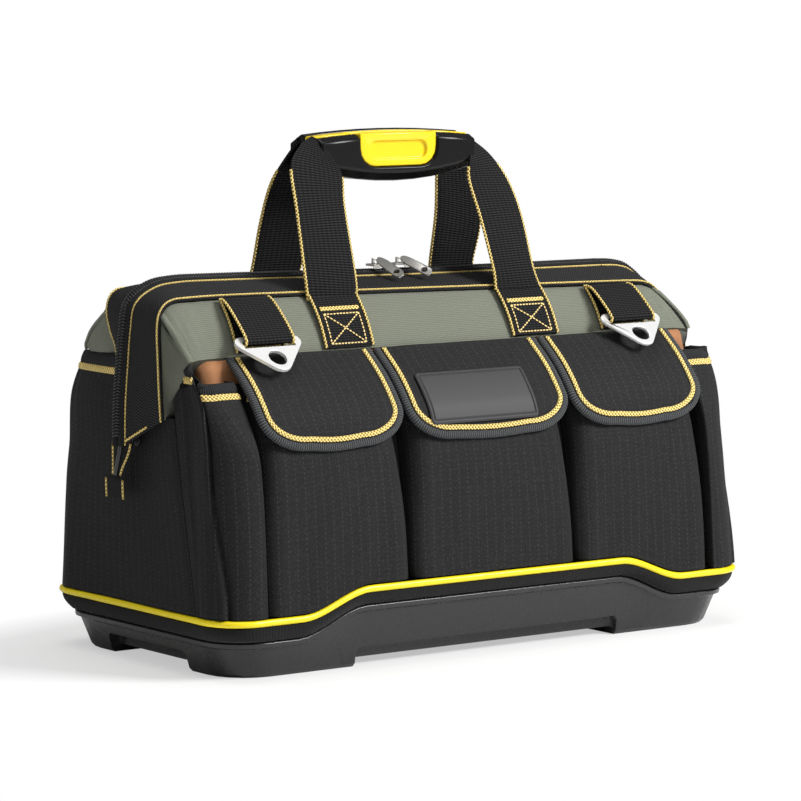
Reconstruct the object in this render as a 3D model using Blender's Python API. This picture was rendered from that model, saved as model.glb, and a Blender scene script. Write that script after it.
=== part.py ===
"""Wide-mouth tool bag on a moulded base, with flap pockets, a hinged mouth frame and a split carrying grip.

The origin is at the bottom centre. +Z is up, -Y is the front and +X is to the right, seen from the front.
All sizes are in metres, written in millimetres times MM.
"""

import math

import bmesh
import bpy
import numpy as np
from mathutils import Vector

MM = 0.001

# Driving sizes of the whole bag
TRAY_LENGTH = 424 * MM
TRAY_WIDTH = 204 * MM
BODY_HEIGHT = 203 * MM
OVERHANG = 8 * MM
GAP = 0.3 * MM
OVERRUN = 20 * MM

HALF_LENGTH = TRAY_LENGTH / 2
HALF_WIDTH = TRAY_WIDTH / 2
BODY_HALF_LENGTH = HALF_LENGTH + OVERHANG
BODY_HALF_WIDTH = HALF_WIDTH + OVERHANG

# Moulded base tray
TRAY_WALL = 3 * MM
TRAY_CORNER = 32 * MM
TRAY_DRAFT = 5 * MM
TRAY_CHAMFER = 2.5 * MM
LIP_LOW = 25 * MM
LIP_HIGH = 42 * MM
LIP_DEPTH = 4 * MM
LIP_PROUD = 2.5 * MM
FLOOR_TOP = 17 * MM
FLOOR_THICKNESS = 3 * MM
NOTCH_HALF_LENGTH = 110 * MM
NOTCH_HALF_WIDTH = 47 * MM
NOTCH_TOP = 13.5 * MM
NOTCH_DEPTH = 7 * MM
NOTCH_CLEARANCE = 5 * MM
NOTCH_ROUND = 3.5 * MM
FOOT_SOLE = 3.5 * MM
FOOT_WALL = 7 * MM
FOOT_WELL_ROUND = 22 * MM
WELL_ROUND_SHARE = 0.45
BOARD_THICKNESS = 3 * MM

# The base's wave: the lip and the piping rise over the middle of the long sides
RISE_IN = 105 * MM
RISE_OUT = 160 * MM
RISE_STEPS = 7
CORNER_STEPS = 5

# Fabric body
PIPING_LOW = 38 * MM
PIPING_RISE = 15 * MM
PIPING_RADIUS = 2.25 * MM
TAPE_THICKNESS = 3 * MM
WALL_THICKNESS = 3 * MM
WALL_CORNER = 26 * MM
FACE_CORNER = 28 * MM
POCKET_THICKNESS = 2.5 * MM
LEVEL_SHARES = (0.19, 0.3, 0.5, 0.6, 0.74, 0.83, 0.93, 1.0)
FACE_WIDTH_SHARES = (1.0, 0.985, 0.955, 0.935, 0.88, 0.79, 0.655, 0.58)
FACE_LENGTH_SHARES = (1.0, 0.995, 0.988, 0.986, 0.98, 0.977, 0.972, 0.968)
WALL_WIDTH_SHARES = (0.885, 0.87, 0.83, 0.79, 0.72, 0.65, 0.555, 0.518)
WALL_LENGTH_SHARES = (0.945, 0.945, 0.945, 0.942, 0.938, 0.934, 0.93, 0.927)

# Front pockets, corner sleeves, end pockets and rear pockets
POCKET_DROP = 15 * MM
SLEEVE_DROP = 13 * MM
END_POCKET_DROP = 9 * MM
SLEEVE_SPAN = 34 * MM
POCKET_TOP = BODY_HEIGHT - POCKET_DROP
SLEEVE_TOP = BODY_HEIGHT - SLEEVE_DROP
END_POCKET_TOP = BODY_HEIGHT - END_POCKET_DROP
POCKET_SPLIT = 69 * MM
POCKET_EDGE = BODY_HALF_LENGTH - SLEEVE_SPAN
SEAM = 0.6 * MM
WALL_CLEARANCE = 0.8 * MM
END_SEAM_BACK = 6 * MM
POCKET_FLOOR_SHARE = 0.15
BELLOWS_ROUND = 14 * MM
POCKET_ROWS = 7
BELLOWS_SHARES = (0.0, 0.5, 0.88, 1.0)

# Flaps
FLAP_THICKNESS = 3.5 * MM
FLAP_TOP_OUT = 3.1 * MM
FLAP_TOP_LIFT = 1.2 * MM
FLAP_DROP = 57 * MM
FLAP_REACH = 43 * MM
FLAP_DROP_SHARES = (0.0, 0.3, 0.61, 0.82, 1.0)
FLAP_REACH_SHARES = (0.0, 0.47, 0.81, 0.94, 1.0)
FLAP_ROUND = 27 * MM
FLAP_LENGTH_SHARE = 0.75
FLAP_INSET = 2 * MM
OUTER_FOLD_SHARE = 0.335
CENTRE_FOLD_SHARE = 0.11
FOLD_GAP = 0.2 * MM
PLATE_WIDTH = 92 * MM
PLATE_HEIGHT = 40 * MM
PLATE_THICKNESS = 2 * MM
PLATE_STAND_OFF = 0.7 * MM
PLATE_TOP_SHARE = 0.2
PLATE_SLOPE_SHARE = 0.01

# Hinged mouth frame, its bands and its zip
PIVOT_DROP = 55 * MM
PIVOT_HEIGHT = BODY_HEIGHT - PIVOT_DROP
ARCH_CLEARANCE = 1 * MM
ARCH_RISE = 38 * MM
ARCH_FOOT_RISE = 2 * MM
ARCH_HALF_SPAN = BODY_HALF_LENGTH + ARCH_CLEARANCE
ARCH_TOP = BODY_HEIGHT + ARCH_RISE
ARCH_FOOT = PIVOT_HEIGHT + ARCH_FOOT_RISE
ARCH_ROUND = 32 * MM
ARCH_TAPER = 3.3 * MM
LEG_UPRIGHT = PIVOT_HEIGHT + 17 * MM
TOP_SWAY = 10 * MM
SWAY_FOOT = ARCH_TOP - ARCH_ROUND
ARCH_STEPS = 6
BAND_OUTER = 35 * MM
BAND_INNER = 5 * MM
BAND_CROWN = 9 * MM
BAND_THICKNESS = 3 * MM
STRIP_OUTER = 20 * MM
STRIP_INNER = 12 * MM
STRIP_THICKNESS = 1.5 * MM
EYE_RADIUS = 5 * MM
PIN_RADIUS = 2 * MM
PIN_HEAD = 4 * MM
PIN_HEAD_THICKNESS = 1.2 * MM
PIN_PLAY = 0.25 * MM
ZIP_TAPE_THICKNESS = 1.2 * MM
COIL_RADIUS = 1.7 * MM
ZIP_TAIL_ROOM = 3.8 * MM
ZIP_TAIL_LENGTH = 26 * MM
ZIP_TAIL_WIDTH = 11 * MM
ZIP_TAIL_SHARES = (0.6, 0.7)
ZIP_TAB_HEIGHT = 10 * MM
PANEL_THICKNESS = 2 * MM
PANEL_BULGE = 2.5 * MM
PANEL_SEAT = 1.6 * MM

# Zip sliders and pulls
SLIDER_LENGTH = 12 * MM
SLIDER_HALF_WIDTH = 4.8 * MM
SLIDER_PLATE = 1.6 * MM
SLIDER_NOSE_SHARE = 0.55
SLIDER_GAP_FROM_CENTRE = 10 * MM
SLIDER_PAIR_OFFSET = -12 * MM
BRIDGE_HEIGHT = 6 * MM
BRIDGE_RADIUS = 0.8 * MM
BRIDGE_HALF_SPAN = 4 * MM
PULL_LENGTH = 28 * MM
PULL_WIDTH = 9 * MM
PULL_NECK = 3.4 * MM
PULL_THICKNESS = 1.8 * MM
PULL_EYE = 2.3 * MM
PULL_EYE_BORE = 1.15 * MM
PULL_NECK_SHARES = (0.3, 0.45)
PULL_HOLE_SHARES = (0.55, 0.6)
PULL_ROOT_SHARE = 0.8
PULL_REST = math.radians(69)

# Ring loops, rings and strap patches
WEBBING_WIDTH = 38 * MM
WEBBING_THICKNESS = 1.6 * MM
RING_MIDDLE = -4.5 * MM
RING_PLACE = 152 * MM
LOOP_TOP_OUT = 0.4 * MM
LOOP_TOP_LIFT = 0.8 * MM
LOOP_LENGTH = 34 * MM
LOOP_LEAN = math.radians(44)
LOOP_THICKNESS = 3.2 * MM
RING_LEAN = math.radians(50)
RING_WIDTH = 51 * MM
RING_HEIGHT = 31 * MM
RING_THICKNESS = 2.5 * MM
RING_BAR = 4 * MM
RING_SLOT_WIDTH = 40 * MM
RING_SLOT_HEIGHT = 6 * MM
RING_HOLE_RADIUS = 6.6 * MM
RING_CORNER = 5.5 * MM
RING_TIP = 9.5 * MM
RING_HOLE_SHARE = 0.58
BAR_PLAY = 0.35 * MM
PATCH_MIDDLE = -8 * MM
PATCH_PLACE = 78 * MM
PATCH_FOOT_SHARE = 0.08
PATCH_HEAD_SHARE = 0.93

# Handle straps and the split grip
GRIP_MIDDLE = -16.5 * MM
GRIP_HALF_LENGTH = 64 * MM
GRIP_HALF_DEPTH = 19 * MM
GRIP_RISE = 106 * MM
GRIP_HEIGHT = 35 * MM
GRIP_TOP = ARCH_TOP + GRIP_RISE
GRIP_TOP_END_DROP = 3 * MM
GRIP_BOTTOM = GRIP_TOP - GRIP_HEIGHT
GRIP_BOTTOM_END_RISE = 8 * MM
GRIP_STATIONS = 8
GRIP_SPLIT = 9 * MM
GRIP_CORE_WIDTH = 10 * MM
GRIP_SHOULDER = 3 * MM
GRIP_SLOPE = 6 * MM
GRIP_FLOOR = 4 * MM
GRIP_SHELL_DROP = 2 * MM
WINDOW_HALF_WIDTH = 32 * MM
WINDOW_HEIGHT = 25 * MM
WINDOW_BOTTOM = GRIP_TOP - WINDOW_HEIGHT
WINDOW_ROUND = 13 * MM
BUTTON_CLEARANCE = 0.4 * MM
BUTTON_FACE_RECESS = 1.5 * MM
BUTTON_FLANGE = 2.5 * MM
BUTTON_FLANGE_THICKNESS = 1.5 * MM
BUTTON_TRAVEL = 3 * MM
BUTTON_LIFT_ROOM = 1.3 * MM
FINGER_HALF_WIDTH = 24 * MM
FINGER_HALF_HEIGHT = 6 * MM
FINGER_DEPTH = 2 * MM
FINGER_ROUND_SHARE = 0.9
STRAP_FOOT_GAP = 0.3 * MM
STRAP_ROWS = 9
STRAP_FRONT_CLEARANCE = 2.0 * MM
STRAP_END_CLEARANCE = 0.8 * MM
STRAP_INNER_LAP = 14 * MM
STRAP_OUTER_REACH = 8 * MM
STRAP_OUTER_IN = 5 * MM

MATERIALS = {
    "black_plastic": ((0.012, 0.012, 0.013), 0.42, 0.0),
    "black_fabric": ((0.010, 0.010, 0.011), 0.85, 0.0),
    "grey_green_fabric": ((0.135, 0.155, 0.125), 0.85, 0.0),
    "yellow_cord": ((0.90, 0.72, 0.0), 0.5, 0.0),
    "yellow_plastic": ((0.95, 0.70, 0.01), 0.38, 0.0),
    "black_webbing": ((0.012, 0.012, 0.012), 0.8, 0.0),
    "black_rubber": ((0.008, 0.008, 0.009), 0.55, 0.0),
    "polished_steel": ((0.80, 0.80, 0.80), 0.15, 1.0),
    "spring_steel": ((0.35, 0.36, 0.38), 0.4, 1.0),
    "nickel": ((0.55, 0.54, 0.51), 0.22, 1.0),
    "grey_board": ((0.05, 0.05, 0.05), 0.7, 0.0),
}


def clear_scene():
    for old in list(bpy.data.objects):
        bpy.data.objects.remove(old, do_unlink=True)


def make_materials():
    made = {}
    for name, (colour, roughness, metallic) in MATERIALS.items():
        material = bpy.data.materials.new(name)
        material.use_nodes = True
        shader = material.node_tree.nodes["Principled BSDF"]
        shader.inputs["Base Color"].default_value = (*colour, 1.0)
        shader.inputs["Roughness"].default_value = roughness
        shader.inputs["Metallic"].default_value = metallic
        made[name] = material
    return made


def add_object(name, bm, material, origin=(0, 0, 0), smooth_angle=math.radians(35)):
    """Put a bmesh in world coordinates into an object whose origin is where it turns or slides."""
    bmesh.ops.translate(bm, verts=bm.verts, vec=-Vector(origin))
    mesh = bpy.data.meshes.new(name)
    bm.to_mesh(mesh)
    bm.free()
    mesh.shade_smooth()
    mesh.set_sharp_from_angle(angle=smooth_angle)
    if material:
        mesh.materials.append(material)
    piece = bpy.data.objects.new(name, mesh)
    piece.location = origin
    bpy.context.scene.collection.objects.link(piece)
    return piece


def loft(rings, closed=True, capped=True):
    """Join rings of equal length with quads. Closed rings get a face over the first and the last."""
    bm = bmesh.new()
    rows = [[bm.verts.new(point) for point in ring] for ring in rings]
    count = len(rings[0])
    last = count if closed else count - 1
    for upper, lower in zip(rows, rows[1:]):
        for j in range(last):
            k = (j + 1) % count
            bm.faces.new((upper[j], lower[j], lower[k], upper[k]))
    if closed and capped:
        bm.faces.new(rows[0])
        bm.faces.new(reversed(rows[-1]))
    return bm


def add_sheet(name, rows, thickness, material, origin=(0, 0, 0), closed=False):
    """A fabric layer. Rows run down and points run right, seen from its face; it thickens behind it."""
    piece = add_object(name, loft(rows, closed, capped=False), material, origin)
    solidify = piece.modifiers.new("thickness", "SOLIDIFY")
    solidify.thickness = thickness
    solidify.offset = -1
    return piece


def prism(outline, start, depth):
    """Extrude a flat outline of points along depth."""
    bm = bmesh.new()
    face = bm.faces.new([bm.verts.new(Vector(start) + Vector(point)) for point in outline])
    grown = bmesh.ops.extrude_face_region(bm, geom=[face])
    moved = [item for item in grown["geom"] if isinstance(item, bmesh.types.BMVert)]
    bmesh.ops.translate(bm, verts=moved, vec=depth)
    bmesh.ops.recalc_face_normals(bm, faces=bm.faces)
    return bm


def box(low, high):
    """A box between two corners."""
    outline = [
        (low[0], low[1], low[2]),
        (high[0], low[1], low[2]),
        (high[0], high[1], low[2]),
        (low[0], high[1], low[2]),
    ]
    return prism(outline, (0, 0, 0), (0, 0, high[2] - low[2]))


def round_bevel(piece, width, segments=2, angle=math.radians(40)):
    bevel = piece.modifiers.new("rounded edges", "BEVEL")
    bevel.width = width
    bevel.segments = segments
    bevel.limit_method = "ANGLE"
    bevel.angle_limit = angle
    return bevel


def boolean(piece, tool, operation="DIFFERENCE"):
    """Cut a piece with a tool, or join the tool to it. The tool is only a guide."""
    tool.hide_render = True
    tool.display_type = "WIRE"
    modifier = piece.modifiers.new(tool.name, "BOOLEAN")
    modifier.operation = operation
    modifier.solver = "EXACT"
    modifier.object = tool
    return modifier


def cut(piece, name, bm, bevel_width=0.0):
    tool = add_object(name, bm, None)
    if bevel_width:
        round_bevel(tool, bevel_width)
    boolean(piece, tool)


def smooth_step(value):
    """0 before 0, 1 after 1, and an S between."""
    t = min(max(value, 0.0), 1.0)
    return t * t * (3 - 2 * t)


def rise_at(x):
    """Share of the wave's height at a place along a long side."""
    return smooth_step((RISE_OUT - abs(x)) / (RISE_OUT - RISE_IN))


def body_outline(half_length, half_width, radius):
    """Rounded rectangle from the front left, anticlockwise from above, as (x, y, share of the wave)."""
    straight = half_length - radius
    stops = [RISE_OUT + (RISE_IN - RISE_OUT) * i / RISE_STEPS for i in range(RISE_STEPS + 1)]
    right = [straight] + stops
    along = [-x for x in right] + right[::-1]
    points = [(x, -half_width, rise_at(x)) for x in along]
    inner = half_width - radius
    turns = [math.pi / 2 * i / CORNER_STEPS for i in range(CORNER_STEPS + 1)]
    for turn in turns[1:]:
        points.append((straight + radius * math.sin(turn), -inner - radius * math.cos(turn), 0.0))
    for turn in turns:
        points.append((straight + radius * math.cos(turn), inner + radius * math.sin(turn), 0.0))
    points += [(x, half_width, rise_at(x)) for x in along[::-1]][1:]
    for turn in turns[1:]:
        points.append((-straight - radius * math.sin(turn), inner + radius * math.cos(turn), 0.0))
    for turn in turns[:-1]:
        points.append((-straight - radius * math.cos(turn), -inner - radius * math.sin(turn), 0.0))
    return points


def level_ring(half_length, half_width, radius, height, rise=0.0):
    return [(x, y, height + rise * k) for x, y, k in body_outline(half_length, half_width, radius)]


def at_height(shares, size, height):
    """A size of the body at a height, read between its levels."""
    return size * float(np.interp(height / BODY_HEIGHT, LEVEL_SHARES, shares))


def face_y(height):
    return -at_height(FACE_WIDTH_SHARES, BODY_HALF_WIDTH, height)


def face_x(height):
    return at_height(FACE_LENGTH_SHARES, BODY_HALF_LENGTH, height)


def wall_y(height):
    return -at_height(WALL_WIDTH_SHARES, BODY_HALF_WIDTH, height)


def wall_x(height):
    return at_height(WALL_LENGTH_SHARES, BODY_HALF_LENGTH, height)


def piping_height(x):
    return PIPING_LOW + PIPING_RISE * rise_at(x)


def rounded_box(low, high, radius, depth_axis, steps=4):
    """A box with its four edges along one axis rounded."""
    a, b = [i for i in range(3) if i != depth_axis]
    outline = []
    corners = ((low[a], low[b], 2), (high[a], low[b], 3), (high[a], high[b], 0), (low[a], high[b], 1))
    for first, second, quarter in corners:
        centre_a = first + (radius if quarter in (2, 1) else -radius)
        centre_b = second + (radius if quarter in (2, 3) else -radius)
        for i in range(steps + 1):
            turn = math.pi / 2 * (quarter + i / steps)
            point = [0.0, 0.0, 0.0]
            point[a] = centre_a + radius * math.cos(turn)
            point[b] = centre_b + radius * math.sin(turn)
            point[depth_axis] = low[depth_axis]
            outline.append(point)
    depth = [0.0, 0.0, 0.0]
    depth[depth_axis] = high[depth_axis] - low[depth_axis]
    return prism(outline, (0, 0, 0), depth)


def build_tray(paint):
    """The moulded base: a wavy lip bead, four feet with wells, and set-back walls between the feet."""
    lip_rise = LIP_HIGH - LIP_LOW
    inner_top = (HALF_LENGTH - TRAY_WALL, HALF_WIDTH - TRAY_WALL)
    foot = (HALF_LENGTH - TRAY_DRAFT, HALF_WIDTH - TRAY_DRAFT)
    inner_foot = (foot[0] - TRAY_WALL, foot[1] - TRAY_WALL)
    proud = LIP_PROUD
    rings = [
        level_ring(*inner_foot, TRAY_CORNER - TRAY_WALL, FLOOR_TOP),
        level_ring(*inner_top, TRAY_CORNER - TRAY_WALL, LIP_LOW, lip_rise),
        level_ring(HALF_LENGTH + proud / 2, HALF_WIDTH + proud / 2, TRAY_CORNER, LIP_LOW, lip_rise),
        level_ring(HALF_LENGTH + proud, HALF_WIDTH + proud, TRAY_CORNER, LIP_LOW - proud / 2, lip_rise),
        level_ring(HALF_LENGTH + proud, HALF_WIDTH + proud, TRAY_CORNER, LIP_LOW - LIP_DEPTH, lip_rise),
        level_ring(HALF_LENGTH, HALF_WIDTH, TRAY_CORNER, LIP_LOW - LIP_DEPTH - proud / 2, lip_rise),
        level_ring(*foot, TRAY_CORNER, TRAY_CHAMFER),
        level_ring(foot[0] - TRAY_CHAMFER, foot[1] - TRAY_CHAMFER, TRAY_CORNER - TRAY_CHAMFER, 0.0),
    ]
    tray = add_object("base_tray", loft(rings), paint["black_plastic"])
    below = -OVERRUN
    long_y = foot[1] - NOTCH_DEPTH
    long_x = foot[0] - NOTCH_DEPTH
    for side in (-1, 1):
        near = (-NOTCH_HALF_LENGTH, min(side * long_y, side * (long_y + OVERRUN)), below)
        far = (NOTCH_HALF_LENGTH, max(side * long_y, side * (long_y + OVERRUN)), NOTCH_TOP)
        cut(tray, f"long_notch_{side}", box(near, far), NOTCH_ROUND)
        near = (min(side * long_x, side * (long_x + OVERRUN)), -NOTCH_HALF_WIDTH, below)
        far = (max(side * long_x, side * (long_x + OVERRUN)), NOTCH_HALF_WIDTH, NOTCH_TOP)
        cut(tray, f"end_notch_{side}", box(near, far), NOTCH_ROUND)
    reach = HALF_LENGTH + OVERRUN
    for name, half_x, half_y in (("long", NOTCH_HALF_LENGTH, reach), ("cross", reach, NOTCH_HALF_WIDTH)):
        cut(tray, f"{name}_rise", box((-half_x, -half_y, below), (half_x, half_y, NOTCH_CLEARANCE)))
    ceiling = FLOOR_TOP - FLOOR_THICKNESS
    skirt = TRAY_WALL
    low = (-NOTCH_HALF_LENGTH + skirt, -long_y + skirt, below)
    cut(tray, "long_hollow", box(low, (-low[0], -low[1], ceiling)))
    low = (-long_x + skirt, -NOTCH_HALF_WIDTH + skirt, below)
    cut(tray, "cross_hollow", box(low, (-low[0], -low[1], ceiling)))
    for x_side in (-1, 1):
        for y_side in (-1, 1):
            x_in = NOTCH_HALF_LENGTH + TRAY_WALL
            x_out = foot[0] - FOOT_WALL
            y_in = NOTCH_HALF_WIDTH + TRAY_WALL
            y_out = foot[1] - FOOT_WALL
            low = (min(x_side * x_in, x_side * x_out), min(y_side * y_in, y_side * y_out), FOOT_SOLE)
            x_high, y_high = max(x_side * x_in, x_side * x_out), max(y_side * y_in, y_side * y_out)
            high = (x_high, y_high, FLOOR_TOP + OVERRUN)
            round_by = min(FOOT_WELL_ROUND, min(y_out - y_in, x_out - x_in) * WELL_ROUND_SHARE)
            cut(tray, f"foot_well_{x_side}_{y_side}", rounded_box(low, high, round_by, 2))
    return tray


def build_floor_and_trim(paint):
    """Stiff floor board, the binding that joins fabric and lip, and the piping above it."""
    low = FLOOR_TOP + GAP
    inset = TRAY_WALL + WALL_THICKNESS + 2 * GAP + TRAY_DRAFT
    half_length = HALF_LENGTH - inset
    half_width = HALF_WIDTH - inset
    radius = TRAY_CORNER - inset / 2
    board = [
        [(x, y, low + BOARD_THICKNESS) for x, y, k in body_outline(half_length, half_width, radius)],
        [(x, y, low) for x, y, k in body_outline(half_length, half_width, radius)],
    ]
    add_object("floor_board", loft(board), paint["grey_board"])

    piping = []
    sides = 8
    half = PIPING_RADIUS / 2
    along = body_outline(BODY_HALF_LENGTH - half, BODY_HALF_WIDTH - half, FACE_CORNER)
    outward = body_outline(BODY_HALF_LENGTH + half, BODY_HALF_WIDTH + half, FACE_CORNER)
    for i in range(sides + 1):
        turn = 2 * math.pi * (i % sides) / sides
        ring = []
        for (x, y, k), (x_out, y_out, _) in zip(along, outward):
            step = math.cos(turn)
            height = piping_height(x) if k else PIPING_LOW
            z = height + PIPING_RADIUS * math.sin(turn)
            ring.append((x + (x_out - x) * step, y + (y_out - y) * step, z))
        piping.append(ring)
    bm = loft(piping, capped=False)
    bmesh.ops.remove_doubles(bm, verts=bm.verts, dist=GAP / 10)
    bmesh.ops.recalc_face_normals(bm, faces=bm.faces)
    add_object("yellow_piping", bm, paint["yellow_cord"])

    top_drop = PIPING_RADIUS + 2 * GAP
    face = (BODY_HALF_LENGTH - GAP, BODY_HALF_WIDTH - GAP)
    tape_low = LIP_LOW + GAP
    rows = [
        level_ring(*face, FACE_CORNER, PIPING_LOW - top_drop, PIPING_RISE),
        level_ring(*face, FACE_CORNER, PIPING_LOW - top_drop - TAPE_THICKNESS, PIPING_RISE),
        level_ring(face[0] - OVERHANG / 3, face[1] - OVERHANG / 3, FACE_CORNER, LIP_LOW + LIP_DEPTH,
                   LIP_HIGH - LIP_LOW),
        level_ring(HALF_LENGTH + LIP_PROUD, HALF_WIDTH + LIP_PROUD, FACE_CORNER, tape_low,
                   LIP_HIGH - LIP_LOW),
    ]
    add_sheet("binding_tape", rows, TAPE_THICKNESS, paint["black_fabric"], closed=True)


def build_body_shell(paint):
    """The inner bag: one tube of padded fabric from the base to the top seam."""
    foot_inset = TRAY_WALL + GAP + TRAY_DRAFT
    rows = []
    heights = [BODY_HEIGHT * share for share in LEVEL_SHARES[::-1]]
    for height in heights:
        rows.append(level_ring(wall_x(height), -wall_y(height), WALL_CORNER, height))
    foot = (HALF_LENGTH - foot_inset, HALF_WIDTH - foot_inset, TRAY_CORNER - TRAY_WALL)
    rows.append(level_ring(*foot, LIP_LOW))
    rows.append(level_ring(*foot, FLOOR_TOP + GAP))
    return add_sheet("body_shell", rows, WALL_THICKNESS, paint["black_fabric"], closed=True)


def bellows_columns(left, right):
    """Places across a pocket's front, and how far each stands out from the wall, as a share."""
    steps = len(BELLOWS_SHARES) - 1
    grow = [BELLOWS_ROUND * math.sin(math.pi / 2 * i / steps) for i in range(steps + 1)]
    grow[1] = SEAM
    columns = [(left + step, share) for step, share in zip(grow, BELLOWS_SHARES)]
    columns += [(x, 1.0) for x in np.linspace(columns[-1][0], right - BELLOWS_ROUND, 6)[1:-1]]
    columns += [(right - step, share) for step, share in zip(grow[::-1], BELLOWS_SHARES[::-1])]
    return columns


def nearest_wall(x, y, height):
    """The place on the inner wall behind a place on a pocket's face, on the right half of the bag."""
    half_length, half_width = wall_x(height) + WALL_CLEARANCE, WALL_CLEARANCE - wall_y(height)
    centre = Vector((half_length - WALL_CORNER, half_width - WALL_CORNER))
    offset = Vector((x - centre.x, abs(y) - centre.y))
    if offset.y <= 0:
        return half_length, y
    if offset.x <= 0:
        return x, math.copysign(half_width, y)
    place = centre + offset.normalized() * WALL_CORNER
    return place.x, math.copysign(place.y, y)


def add_pocket(name, rows, backs, paint):
    """An open pocket from the rows of its face, and a floor that runs back to the inner wall."""
    faces = [Vector(point) for point in rows[-1]]
    backs = [Vector(point) for point in backs]
    closing = [back + (face - back) * POCKET_FLOOR_SHARE for face, back in zip(faces, backs)]
    for end, toward in ((0, 2), (1, 2), (-1, -3), (-2, -3)):
        closing[end] += (backs[toward] - backs[end]).normalized() * POCKET_THICKNESS
    add_sheet(name, rows + [closing], POCKET_THICKNESS, paint["black_fabric"])


def add_pouch(name, left, right, top, paint, rear=False):
    """A pouch with gusseted sides on the front or the rear wall."""
    side = -1 if rear else 1
    rows, backs = [], []
    for i in range(POCKET_ROWS + 1):
        row = []
        for x, share in bellows_columns(left, right):
            foot = piping_height(x) + PIPING_RADIUS + 3 * GAP
            height = top + (foot - top) * i / POCKET_ROWS
            back = wall_y(height) - WALL_CLEARANCE
            row.append((side * x, side * (back + (face_y(height) - back) * share), height))
            if i == POCKET_ROWS:
                backs.append((side * x, side * back, height))
        rows.append(row)
    add_pocket(name, rows, backs, paint)


def end_seam(height):
    """Where the corner sleeve meets the end pocket, along the bag's end."""
    foot = PIPING_LOW + PIPING_RADIUS
    low, high = face_y(foot), face_y(SLEEVE_TOP)
    share = (height - foot) / (SLEEVE_TOP - foot)
    return low + (high - low) * share + FACE_CORNER + END_SEAM_BACK


def corner_path(height, start_x, end_y):
    """Places round a front corner: from the wall along the front, round to the end, back to the wall."""
    half_length, half_width = face_x(height), -face_y(height)
    centre_x, centre_y = half_length - FACE_CORNER, -half_width + FACE_CORNER
    points = [(start_x, wall_y(height) - WALL_CLEARANCE), (start_x, -half_width)]
    for i in range(CORNER_STEPS + 1):
        turn = math.pi / 2 * i / CORNER_STEPS
        points.append((centre_x + FACE_CORNER * math.sin(turn), centre_y - FACE_CORNER * math.cos(turn)))
    return points + [(half_length, end_y), (wall_x(height) + WALL_CLEARANCE, end_y)]


def build_pockets(paint):
    splits = (-POCKET_EDGE, -POCKET_SPLIT, POCKET_SPLIT, POCKET_EDGE)
    for side, left, right in zip(("left", "centre", "right"), splits, splits[1:]):
        add_pouch(f"front_pocket_{side}", left + SEAM, right - SEAM, POCKET_TOP, paint)
        add_pouch(f"rear_pocket_{side}", left + SEAM, right - SEAM, POCKET_TOP, paint, rear=True)

    # A narrow sleeve wraps each front corner, and an end pocket runs on from it round the rear corner
    start_x = POCKET_EDGE + SEAM
    foot = PIPING_LOW + PIPING_RADIUS + 2 * GAP
    for side, x_side in (("left", -1), ("right", 1)):
        for kind, top in (("corner_sleeve", SLEEVE_TOP), ("end_pocket", END_POCKET_TOP)):
            rows = []
            for i in range(POCKET_ROWS + 1):
                height = top + (foot - top) * i / POCKET_ROWS
                path = corner_path(height, start_x, end_seam(height))
                if kind == "end_pocket":
                    mirrored = corner_path(height, start_x, -end_seam(height) - SEAM)
                    path = [(x, -y) for x, y in mirrored[::-1]]
                rows.append([(x, y, height) for x, y in path])
            backs = [(*nearest_wall(x, y, foot), foot) for x, y, height in rows[-1]]
            if x_side < 0:
                rows = [[(-x, y, z) for x, y, z in row[::-1]] for row in rows]
                backs = [(-x, y, z) for x, y, z in backs[::-1]]
            add_pocket(f"{kind}_{side}", rows, backs, paint)


def flap_point(share):
    """A place down the flap's face, as (y, z)."""
    stops = np.linspace(0, 1, len(FLAP_DROP_SHARES))
    drop = float(np.interp(share, stops, FLAP_DROP_SHARES))
    reach = float(np.interp(share, stops, FLAP_REACH_SHARES))
    top_y = wall_y(BODY_HEIGHT) - FLAP_TOP_OUT
    top_z = BODY_HEIGHT + FLAP_TOP_LIFT
    return top_y - FLAP_REACH * reach, top_z - FLAP_DROP * drop


def flap_fold(share):
    y, z = flap_point(share)
    return Vector((0, y, z))


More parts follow.
